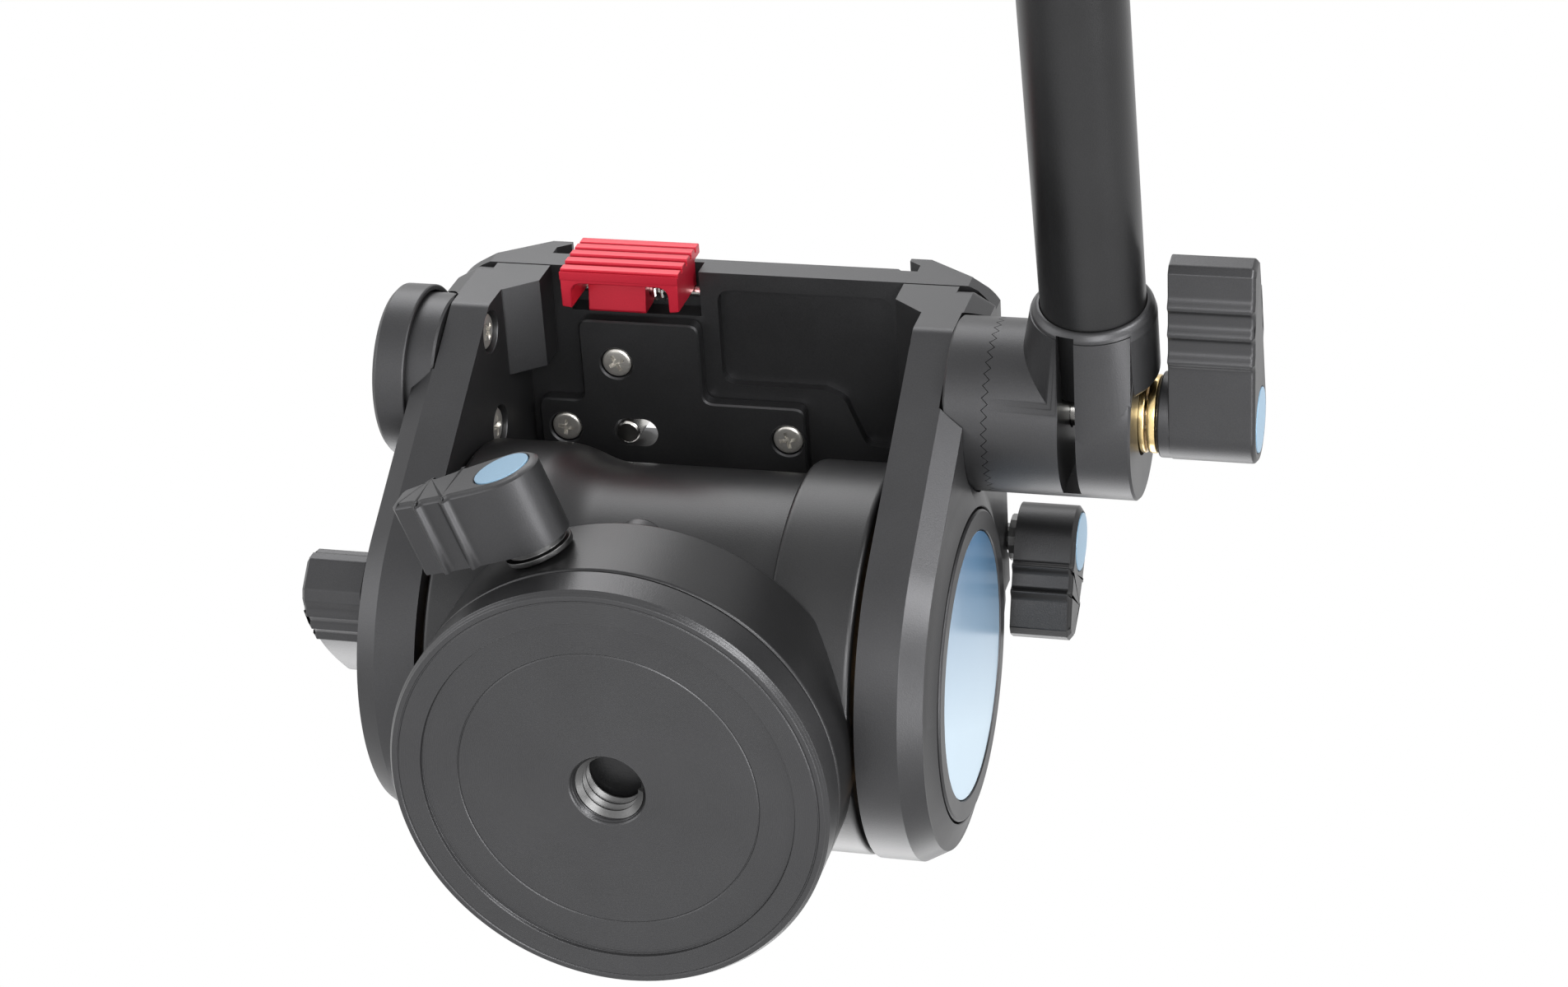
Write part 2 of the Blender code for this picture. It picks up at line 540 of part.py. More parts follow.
boolean(platform, disc(1.05, -26.0, -2.0, axis="X", centre=(0, RELEASE_Y, RELEASE_Z), steps=16))


def pin_slot(r):
    """Outline of the slot round the latch pin, r millimetres to each side."""
    left = [(PIN[0] + r * cos(radians(a)), PIN[1] + r * sin(radians(a))) for a in range(90, 271, 20)]
    return left + [(PIN[0] + 2.3 + r * cos(radians(a)), PIN[1] + r * sin(radians(a))) for a in range(-90, 91, 20)]


boolean(platform, prism(pin_slot(2.7), 60, 76, "XY"))
cover = [(-22.0, -35.4), (-5.4, -35.4), (-4.0, -34.0), (-4.0, -25.0), (-3.4, -23.7), (-2.2, -23.1), (9.0, -23.1),
         (10.4, -22.4), (11.0, -21.2), (11.0, -7.0), (-29.0, -7.0), (-29.0, -21.0), (-28.0, -22.2), (-23.4, -22.8),
         (-22.0, -24.2)]
cover_plate = place("cover_plate", prism(cover, FLOOR_Z0 - GAP, PLATE_Z0, "XY", edge=0.3), "charcoal", TILT)
screws = [(-16.7, -28.7, 0), (-25.2, -17.9, 0), (8.2, -17.9, 0)]
boolean(cover_plate, prism(pin_slot(2.2), 60, 76, "XY"))
boolean(cover_plate, merged(*[turned([(0, 60), (2.5, 60), (2.5, 69.3), (1.3, 69.3), (1.3, 72), (0, 72)],
                                     centre=at, steps=24) for at in screws]))
boolean(platform, merged(*[disc(1.3, 69, 74.2, centre=at, steps=16) for at in screws]))
for i, at in enumerate(screws):
    place(f"cover_screw_{i + 1}", turned([(0, 68.6), (1.9, 68.5), (2.2, 68.75), (2.2, 69.0), (1.0, 69.0), (1.0, 73.8),
                                          (0, 73.8)], centre=at, steps=14), "steel", TILT)
place("latch_pin", turned([(0, 68.0), (1.5, 68.0), (1.8, 68.3), (1.8, 75.6), (1.4, 76.0), (0, 76.0)],
                          centre=(*PIN, 0), steps=24), "steel", TILT)

# release lever: ribbed rear wall, two cheeks and a tab on the pivot pin
rear = ARM_REAR - 1.1
wall = [(rear, 75.0)]
for i in range(5):
    top = 75.0 - 2.36 * i
    crest = rear - 1.5 - 0.06 * i * (4 - i)
    wall += [(crest + 0.4, top), (crest, top - 0.5), (crest - 0.02, top - 1.6), (crest + 0.6, top - 1.9)]
wall += [(rear - 1.4, 63.2), (rear, 63.2)]
red_lever = place("release_lever", prism(wall, RELEASE_X0, RELEASE_X1), "red", RELEASE)
cheek = [(rear - 0.3, 74.6), (rear - 0.3, 63.3), (rear + 3.4, 63.3), (rear + 4.0, 64.2), (rear + 4.4, 66.6),
         (rear + 3.0, 69.8), (rear + 3.0, 73.2), (rear + 0.7, 73.4), (rear + 0.7, 74.6)]
for low in (RELEASE_X0 + 0.05, RELEASE_X1 - 1.15):
    boolean(red_lever, prism(cheek, low, low + 1.1), "UNION")
tab = [(rear - 0.5, 73.0), (rear - 0.5, 70.5), (RELEASE_Y - 2.4, 69.4), (RELEASE_Y + 1.2, 68.6), (RELEASE_Y + 2.6, 68.6),
       (RELEASE_Y + 2.7, 70.0), (RELEASE_Y + 2.3, 72.6), (RELEASE_Y + 1.8, 73.4)]
boolean(red_lever, prism(tab, -20.2, -12.0), "UNION")
boolean(red_lever, disc(1.05, -30, 0, axis="X", centre=(0, RELEASE_Y, RELEASE_Z), steps=16))
place("release_pivot", disc(0.75, -25.6, -2.4, axis="X", centre=(0, RELEASE_Y, RELEASE_Z), steps=16), "steel", TILT)
torsion = coil(1.55, 0.22, 3.5, -11.4, -7.8, points=9, sides=5)
torsion.transform(Matrix.Translation((0, RELEASE_Y, RELEASE_Z)))
place("release_spring", torsion, "steel", TILT)

# plate lock on the right rail: lever, stud and the jaw that closes on the camera plate
wing_lever("plate_lock_lever", "black_satin", PLATE_LOCK, 8.8, 0.7, 2.3, 6.5, 4.2,
           hub_r=5.2, reach=14.4, tip=2.2, power=1.6, ridges=(5.0, 8.6), rise=0.55, width=1.3)
place("plate_lock_stud", turned([(0, -12.7), (2.0, -12.7), (2.0, -1.3), (3.4, -1.3), (3.4, -0.3), (2.0, -0.3), (2.0, 6.2),
                                 (0, 6.2)], axis="X", steps=16), "dark_steel", PLATE_LOCK, local=True)
boolean(platform, disc(2.4, 24.0, 45.0, axis="X", centre=(0, PLATE_LOCK_Y, PLATE_LOCK_Z), steps=20))
boolean(platform, block((SEAT_X + 0.2, PLATE_LOCK_Y - 9.3, 71.9), (28.4, PLATE_LOCK_Y + 9.3, 78.2)))
jaw = [(27.2, 72.2), (28.1, 72.2), (28.1, 77.9), (25.8, 77.9)]
place("clamp_jaw", prism(jaw, PLATE_LOCK_Y - 9.0, PLATE_LOCK_Y + 9.0, "XZ"), "dark_steel", TILT)


def toothed(radius, base, swing=0.0):
    """A ring of points about the rosette axis, swinging in and out along X for the teeth."""
    count = 2 * TEETH
    return [(base + (swing if k % 2 else -swing), HUB_Y + radius * cos(2 * pi * k / count),
             HUB_Z + radius * sin(2 * pi * k / count)) for k in range(count)]


# rosette hubs on the arms, the left one under a cover
for side, sign in (("right", 1), ("left", -1)):
    top, hub_r = (TOOTH_X, HUB_R) if sign > 0 else (LEFT_TOOTH_X, LEFT_HUB_R)
    rings = [toothed(hub_r, HUB_X0), toothed(hub_r, top, TOOTH_H / 2), toothed(6.5, top - 0.1)]
    hub = place(f"rosette_hub_{side}", skin([[(sign * x, y, z) for x, y, z in r] for r in rings]), "charcoal", TILT)
    low, high = sorted((sign * 36, sign * 40))
    boolean(hub, merged(*[disc(1.8, low, high, axis="X", centre=(0, y, z), steps=14) for y, z in HUB_SCREWS]))
    low, high = sorted((sign * 36, sign * 43))
    boolean(hub, disc(BOLT_R + GAP, low, high, steps=20, **ON_HUB))
under = LEFT_TOOTH_X + 0.8
place("hub_cover", turned([(0, -38.0), (BOLT_R, -38.0), (BOLT_R, -under), (LEFT_HUB_R + GAP, -under),
                           (LEFT_HUB_R + GAP, 1.7 - under), (COVER_R, 1.7 - under), (COVER_R, -under - 2.7),
                           (COVER_R - 0.6, -under - 3.3), (0, -under - 3.3)], steps=44, **ON_HUB), "charcoal", TILT)

# pan bar clamp: toothed cylinder split by a slot, a socket for the bar
bar_dir = Vector((0, -cos(BAR_DROP), -sin(BAR_DROP)))
side_dir = Vector((1, 0, 0))
bar_place = Matrix.Translation((BAR_X, HUB_Y, HUB_Z)) @ Matrix((side_dir, bar_dir.cross(side_dir), bar_dir)).transposed().to_4x4()


def along_bar(body):
    """Move a body turned about Z onto the bar; its height becomes the distance from the rosette axis."""
    body.transform(bar_place)
    return body


face = TOOTH_X + GAP + 0.1
clamp = place("bar_clamp", skin([toothed(6.5, face + 0.1), toothed(HUB_R, face, TOOTH_H / 2),
                                 toothed(HUB_R, CLAMP_X1 - 0.5), toothed(HUB_R - 0.5, CLAMP_X1)]), "charcoal", BAR)
boolean(clamp, turned([(0, 40), (BOLT_R + GAP, 40), (BOLT_R + GAP, CLAMP_X1 - 0.7), (5.8, CLAMP_X1 - 0.7), (5.8, 64), (0, 64)],
                      steps=24, **ON_HUB))
boolean(clamp, along_bar(turned([(BAR_R - 0.5, 7.0), (MOUTH_R, 7.0), (MOUTH_R, BAR_MOUTH - 2.0), (MOUTH_R - 1.0, BAR_MOUTH),
                                 (BAR_R - 0.5, BAR_MOUTH)], steps=40)), "UNION")
boolean(clamp, along_bar(disc(BAR_R + GAP, BAR_START - GAP, 20, steps=32)))
boolean(clamp, block((SLOT_X0, HUB_Y - 16, HUB_Z - 16), (SLOT_X1, HUB_Y + 8.7, HUB_Z + 16)))
place("bar_tube", along_bar(ring(BAR_R - BAR_WALL, BAR_R, BAR_START, BAR_LENGTH - 9, edge=0.4, steps=30)), "black_satin", BAR)
place("bar_grip", along_bar(ring(BAR_R + GAP, GRIP_R, GRIP_START, BAR_LENGTH - 8, edge=2.0, steps=30)), "foam", BAR)
place("bar_end_cap", along_bar(turned([(0, BAR_LENGTH - 18), (BAR_R - BAR_WALL - GAP, BAR_LENGTH - 18),
                                       (BAR_R - BAR_WALL - GAP, BAR_LENGTH - 7.7), (11.6, BAR_LENGTH - 7.7),
                                       (12.0, BAR_LENGTH - 7), (12.0, BAR_LENGTH - 2.5), (10.0, BAR_LENGTH - 0.6),
                                       (0, BAR_LENGTH)], steps=30)), "charcoal", BAR)

# clamp bolt, washers and wing knob
place("clamp_bolt", turned([(0, BOLT_IN_X), (BOLT_R - 0.4, BOLT_IN_X), (BOLT_R, BOLT_IN_X + 0.4), (BOLT_R, KNOB_X + 6.2),
                            (0, KNOB_X + 6.2)], steps=24, **ON_HUB), "steel", KNOB)
for name, x in (("clamp_washer_inner", 61.6), ("clamp_washer_outer", 63.1)):
    place(name, ring(BOLT_R + GAP, 5.4, x, x + 1.2, steps=28, **ON_HUB), "brass", BAR)
wing_lever("clamp_knob", "charcoal", KNOB, 11.6, 0.9, BOLT_R + GAP, 6.8, 4.5,
           boss=(5.9, KNOB_BOSS), hub_r=6.0, reach=24.6, tip=2.3, power=1.0, ridges=(11.5, 15.4, 19.2), rise=0.6,
           width=1.4)
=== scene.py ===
"""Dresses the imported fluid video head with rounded, finished pieces, and sets its light and camera.

Sizes in the classes are millimetres in the part's own frame: the origin is under the middle of the base,
+X points right seen from behind, +Y to the front and +Z up.
"""
from __future__ import annotations

import logging
from dataclasses import dataclass
from enum import Enum
from math import acos, atan2, cos, hypot, pi, radians, sin, tan

import bpy
from mathutils import Matrix, Vector

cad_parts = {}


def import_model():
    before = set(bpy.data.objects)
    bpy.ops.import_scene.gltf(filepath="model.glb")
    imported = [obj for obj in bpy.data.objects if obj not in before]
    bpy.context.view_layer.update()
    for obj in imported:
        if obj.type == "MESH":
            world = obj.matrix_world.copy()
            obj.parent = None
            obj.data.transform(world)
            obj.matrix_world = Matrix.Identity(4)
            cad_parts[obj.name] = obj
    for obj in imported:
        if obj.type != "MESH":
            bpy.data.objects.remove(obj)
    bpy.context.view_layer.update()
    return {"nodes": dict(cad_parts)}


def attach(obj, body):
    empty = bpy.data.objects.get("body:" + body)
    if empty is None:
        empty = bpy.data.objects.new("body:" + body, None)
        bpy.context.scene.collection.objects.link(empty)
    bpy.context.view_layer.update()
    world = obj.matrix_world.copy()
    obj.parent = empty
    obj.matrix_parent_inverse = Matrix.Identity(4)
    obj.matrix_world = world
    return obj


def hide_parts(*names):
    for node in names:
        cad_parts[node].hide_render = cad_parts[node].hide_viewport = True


MM = 0.001
LOG = logging.getLogger("head")
Point = tuple[float, float]
Spot = tuple[float, float, float]

# Places that several sub-assemblies share, in millimetres: the height of the tilt axis, the rosette axis, the
# release pin, the plate lock's stud, and X, Y and recess angle of each screw in the cover plate.
TILT_Z = 39.8
HUB_Y, HUB_Z = -31.6, 57.0
PIVOT_Y, PIVOT_Z = -39.3, 71.8
PLATE_STUD_Y, PLATE_STUD_Z = -2.2, 73.0
COVER_SCREWS = ((-16.7, -28.7, 30.0), (-25.2, -17.9, 80.0), (8.2, -17.9, 12.0))


class Along(Enum):
    """Direction that a turned piece's axis or a slab's thickness runs in."""

    X = "X"
    Y = "Y"
    Z = "Z"

    def matrix(self) -> Matrix:
        """Turn that carries the piece's own Z to this direction."""
        rows = {
            "X": ((0, 0, 1, 0), (1, 0, 0, 0), (0, 1, 0, 0), (0, 0, 0, 1)),
            "Y": ((1, 0, 0, 0), (0, 0, 1, 0), (0, -1, 0, 0), (0, 0, 0, 1)),
            "Z": ((1, 0, 0, 0), (0, 1, 0, 0), (0, 0, 1, 0), (0, 0, 0, 1)),
        }
        return Matrix(rows[self.value])


class Grain(Enum):
    """Kind of surface detail that a finish carries."""

    BLASTED = "blasted"
    TURNED = "turned"
    DRAWN = "drawn"
    FOAM = "foam"
    # Painted reflection: a colour that fades across the piece, standing in for a lamp's reflection.
    SHADED = "shaded"
    CLEAR = "clear"


# Finishes of the pieces.


@dataclass(frozen=True)
class Finish:
    """A surface finish, with the detail that its nodes draw.

    Colours are linear. centre and along give the lathe or draw axis of a machined finish; second is the pale colour
    of a painted reflection that the disc's colour fades to.
    """

    name: str
    slot: str
    colour: Spot
    roughness: float
    metallic: float
    grain: Grain = Grain.BLASTED
    grain_size: float = 0.2
    relief: float = 0.022
    coat: float = 0.0
    centre: Spot = (0.0, 0.0, 0.0)
    along: Along = Along.Z
    second: Spot = (0.0, 0.0, 0.0)
    gloss: float = 0.5

    def material(self) -> bpy.types.Material:
        """The finish as a node material, made once."""
        if self.name in bpy.data.materials:
            return bpy.data.materials[self.name]
        material = bpy.data.materials.new(self.name)
        material.use_nodes = True
        shader = material.node_tree.nodes["Principled BSDF"]
        shader.inputs["Metallic"].default_value = self.metallic
        shader.inputs["Coat Weight"].default_value = self.coat
        shader.inputs["Coat Roughness"].default_value = 0.06
        shader.inputs["Specular IOR Level"].default_value = self.gloss
        if self.grain is Grain.CLEAR:
            shader.inputs["Transmission Weight"].default_value = 0.6
        NodeWork(material.node_tree, self).build(shader)
        return material


class NodeWork:
    """Builds the nodes of a finish.

    Sizes are millimetres: the broad blots, the lathe's feed, and the span of the disc's painted reflection.
    """

    BROAD_SIZE = 14.0
    LATHE_FEED = 0.4
    # Direction and span of the disc's painted reflection.
    FADE_TO: Spot = (0.0, -0.885, 0.46)
    FADE_SPAN: Point = (-9.0, 17.0)

    def __init__(self, tree: bpy.types.NodeTree, finish: Finish) -> None:
        """Keep the tree and the finish.

        Args:
            tree: the material's node tree.
            finish: the finish to draw.
        """
        self.tree = tree
        self.finish = finish

    def add(self, kind: str, **values: object) -> bpy.types.Node:
        """Add a node and set its attributes.

        Args:
            kind: the node's type, without its prefix.
            values: attributes by name.

        Returns:
            The node.
        """
        node = self.tree.nodes.new(f"ShaderNode{kind}")
        for key, value in values.items():
            setattr(node, key, value)
        return node

    def join(self, source: bpy.types.NodeSocket, node: bpy.types.Node, name: str | int) -> None:
        """Link a socket to a node's input."""
        self.tree.links.new(source, node.inputs[name])

    def noise(self, vector: bpy.types.NodeSocket, size: float, detail: float) -> bpy.types.NodeSocket:
        """Noise in three dimensions.

        Args:
            vector: the place on the piece.
            size: width of a blot in millimetres.
            detail: how many finer layers it has.

        Returns:
            A 0 to 1 signal.
        """
        node = self.add("TexNoise")
        node.inputs["Scale"].default_value = 1.0 / (size * MM)
        node.inputs["Detail"].default_value = detail
        self.join(vector, node, "Vector")
        return node.outputs["Fac"]

    def span(self, source: bpy.types.NodeSocket, low: float, high: float) -> bpy.types.NodeSocket:
        """Map the middle of a 0 to 1 signal onto a range.

        Args:
            source: the signal.
            low: the range's start.
            high: the range's end.

        Returns:
            The mapped signal.
        """
        node = self.add("MapRange")
        for name, value in (("From Min", 0.3), ("From Max", 0.7), ("To Min", low), ("To Max", high)):
            node.inputs[name].default_value = value
        self.join(source, node, "Value")
        return node.outputs["Result"]

    def mix(self, one: bpy.types.NodeSocket, other: bpy.types.NodeSocket, share: float) -> bpy.types.NodeSocket:
        """Mix two signals.

        Args:
            one: the first signal.
            other: the second signal.
            share: the second signal's part in the result.

        Returns:
            The mixed signal.
        """
        node = self.add("Mix", data_type="FLOAT")
        node.inputs["Factor"].default_value = share
        self.join(one, node, "A")
        self.join(other, node, "B")
        return node.outputs["Result"]

    def ramp(self, source: bpy.types.NodeSocket, ends: tuple[Spot, Spot], places: Point) -> bpy.types.NodeSocket:
        """Blend two colours by a 0 to 1 signal.

        Args:
            source: the signal.
            ends: the two colours.
            places: the signal's values at which they stand.

        Returns:
            The colour.
        """
        node = self.add("ValToRGB")
        for element, colour, place in zip(node.color_ramp.elements, ends, places):
            element.position = place
            element.color = (*colour, 1.0)
        self.join(source, node, "Fac")
        return node.outputs["Color"]

    def fade(self, vector: bpy.types.NodeSocket) -> bpy.types.NodeSocket:
        """Colour that goes from the finish's second colour to its first across the piece: the pale second colour is
        a painted reflection of a white lamp.

        Args:
            vector: the place on the piece.

        Returns:
            The colour.
        """
        slope = self.add("VectorMath", operation="DOT_PRODUCT")
        slope.inputs[1].default_value = self.FADE_TO
        self.join(vector, slope, 0)
        reach = self.add("MapRange")
        reach.inputs["From Min"].default_value, reach.inputs["From Max"].default_value = (
            bound * MM for bound in self.FADE_SPAN)
        self.join(slope.outputs["Value"], reach, "Value")
        return self.ramp(reach.outputs["Result"], (self.finish.second, self.finish.colour), (0.0, 1.0))

    def height(self, vector: bpy.types.NodeSocket, fine: bpy.types.NodeSocket) -> bpy.types.NodeSocket:
        """Height of the surface detail: lathe rings, draw lines, foam cells or plain grain.

        Args:
            vector: the place on the piece.
            fine: the plain grain.

        Returns:
            A 0 to 1 signal.
        """
        finish = self.finish
        if finish.grain is Grain.TURNED:
            rings = self.add("TexWave", wave_type="RINGS", rings_direction=finish.along.value)
            rings.inputs["Scale"].default_value = 0.5 / (self.LATHE_FEED * MM)
            rings.inputs["Distortion"].default_value = 0.5
            rings.inputs["Detail Scale"].default_value = 0.2
            self.join(vector, rings, "Vector")
            return self.mix(fine, rings.outputs["Fac"], 0.4)
        if finish.grain is Grain.DRAWN:
            stretch = self.add("Mapping", vector_type="POINT")
            keep = {"X": (0.04, 1, 1), "Y": (1, 0.04, 1), "Z": (1, 1, 0.04)}[finish.along.value]
            stretch.inputs["Scale"].default_value = keep
            self.join(vector, stretch, "Vector")
            return self.noise(stretch.outputs["Vector"], finish.grain_size, 2.0)
        if finish.grain is Grain.FOAM:
            cells = self.add("TexVoronoi", feature="F1")
            cells.inputs["Scale"].default_value = 1.0 / (finish.grain_size * MM)
            self.join(vector, cells, "Vector")
            return cells.outputs["Distance"]
        return fine

    def build(self, shader: bpy.types.Node) -> None:
        """Draw colour, roughness and relief into the shader.

        Args:
            shader: the material's surface shader.
        """
        finish = self.finish
        place = self.add("TexCoord")
        turn = self.add("Mapping", vector_type="POINT")
        turn.inputs["Location"].default_value = [-c * MM for c in finish.centre]
        self.join(place.outputs["Object"], turn, "Vector")
        vector = turn.outputs["Vector"]
        fine = self.noise(vector, finish.grain_size, 2.0)
        broad = self.noise(vector, self.BROAD_SIZE, 3.0)
        # The painted reflection takes the place of the mottled colour.
        if finish.grain is Grain.SHADED:
            colour = self.fade(vector)
        else:
            shades = tuple(tuple(part * c for c in finish.colour) for part in (0.88, 1.1))
            colour = self.ramp(self.mix(fine, broad, 0.5), shades, (0.3, 0.7))
        self.join(colour, shader, "Base Color")
        self.join(self.span(broad, finish.roughness * 0.93, finish.roughness * 1.07), shader, "Roughness")
        if finish.relief:
            bump = self.add("Bump")
            bump.inputs["Strength"].default_value = 0.6
            bump.inputs["Distance"].default_value = finish.relief * MM
            self.join(self.height(vector, fine), bump, "Height")
            self.join(bump.outputs["Normal"], shader, "Normal")


CHARCOAL: Spot = (0.05, 0.05, 0.052)
ANODISED = Finish("anodised_charcoal", "charcoal", CHARCOAL, 0.4, 0.8)
SATIN_BLACK = Finish("anodised_black", "black_satin", (0.034, 0.034, 0.035), 0.36, 0.8)
UNDERSIDE = Finish("lathe_turned_charcoal", "charcoal", (0.053, 0.053, 0.055), 0.36, 0.8, Grain.TURNED, 0.2, 0.06)
THREAD = Finish("cut_thread", "charcoal", (0.095, 0.095, 0.095), 0.34, 0.7, Grain.BLASTED, 0.2, 0.004)
ZINC = Finish("zinc_plated_steel", "steel", (0.62, 0.60, 0.56), 0.3, 0.8, Grain.BLASTED, 0.3, 0.004)
STEEL = Finish("bright_steel", "steel", (0.66, 0.65, 0.62), 0.22, 1.0, Grain.BLASTED, 0.3, 0.003)
BOLT_STEEL = Finish("drawn_steel", "steel", (0.66, 0.65, 0.62), 0.2, 1.0, Grain.DRAWN, 0.2, 0.003, along=Along.Y)
DARK_STEEL = Finish("blackened_steel", "dark_steel", (0.07, 0.07, 0.07), 0.35, 1.0, Grain.BLASTED, 0.3, 0.004)
BRASS = Finish("turned_brass", "brass", (0.74, 0.56, 0.27), 0.2, 1.0, Grain.BLASTED, 0.3, 0.003)
BRONZE = Finish("bearing_bronze", "bronze", (0.42, 0.26, 0.13), 0.4, 1.0, Grain.BLASTED, 0.3, 0.008)
RED = Finish("anodised_red", "red", (0.46, 0.012, 0.03), 0.36, 0.5, Grain.BLASTED, 0.14, 0.01)
PALE_BLUE = Finish("pale_blue_inlay", "pale_blue", (0.20, 0.33, 0.45), 0.35, 0.0, Grain.BLASTED, 0.2, 0.004,
                   gloss=0.4)
# Blue disc: deep blue that fades to pale blue towards its front and lower side; the pale blue is a painted
# reflection of a white lamp, not the disc's own colour.
GLOSS_BLUE = Finish("blue_disc_painted_reflection", "blue", (0.05, 0.14, 0.26), 0.22, 0.0, Grain.SHADED, 0.5, 0.0,
                    centre=(0.0, 0.0, TILT_Z), second=(0.42, 0.54, 0.64), gloss=0.3)
POLYMER = Finish("grey_polymer", "grey_polymer", (0.11, 0.11, 0.12), 0.55, 0.0, Grain.BLASTED, 0.4, 0.02)
VIAL = Finish("level_liquid", "vial", (0.42, 0.66, 0.14), 0.05, 0.0, Grain.CLEAR, 0.5, 0.0, coat=0.5)
FOAM = Finish("grip_foam", "foam", (0.018, 0.018, 0.018), 0.85, 0.0, Grain.FOAM, 0.55, 0.10)


# Modelling steps that every sub-assembly uses.


def fillet(points: list[Point], radius: float, parts: int = 4, closed: bool = False) -> list[Point]:
    """Round the corners of a line or outline by arcs.

    Args:
        points: the corners.
        radius: the largest radius; a short side gets a smaller one.
        parts: pieces in each arc.
        closed: whether the last corner joins the first.

    Returns:
        The corners, each replaced by its arc.
    """
    count = len(points)
    result: list[Point] = []
    for i, here in enumerate(points):
        if not closed and i in (0, count - 1):
            result.append(here)
            continue
        before, after = Vector(points[i - 1]), Vector(points[(i + 1) % count])
        corner = Vector(here)
        a, b = before - corner, after - corner
        if min(a.length, b.length) < 1e-6:
            result.append(here)
            continue
        opening = acos(max(-1.0, min(1.0, a.normalized().dot(b.normalized()))))
        if opening > radians(178):
            result.append(here)
            continue
        reach = min(radius / tan(opening / 2), 0.45 * a.length, 0.45 * b.length)
        start, end = corner + a.normalized() * reach, corner + b.normalized() * reach
        for k in range(parts + 1):
            t = k / parts
            point = start * (1 - t) ** 2 + corner * (2 * t * (1 - t)) + end * t ** 2
            result.append((point.x, point.y))
    return result


def arc(radius: float, start: float, stop: float, parts: int, centre: Point = (0.0, 0.0)) -> list[Point]:
    """Points along an arc, both ends included.

    Args:
        radius: its radius.
        start: its first angle, in radians.
        stop: its last angle.
        parts: pieces between the points.
        centre: its centre.

    Returns:
        The points.
    """
    angles = [start + (stop - start) * i / parts for i in range(parts + 1)]
    return [(centre[0] + radius * cos(t), centre[1] + radius * sin(t)) for t in angles]


def across(y: float, z: float) -> dict[str, object]:
    """Placing of a turned piece whose axis runs along X through (y, z)."""
    return {"along": Along.X, "centre": (0.0, y, z)}


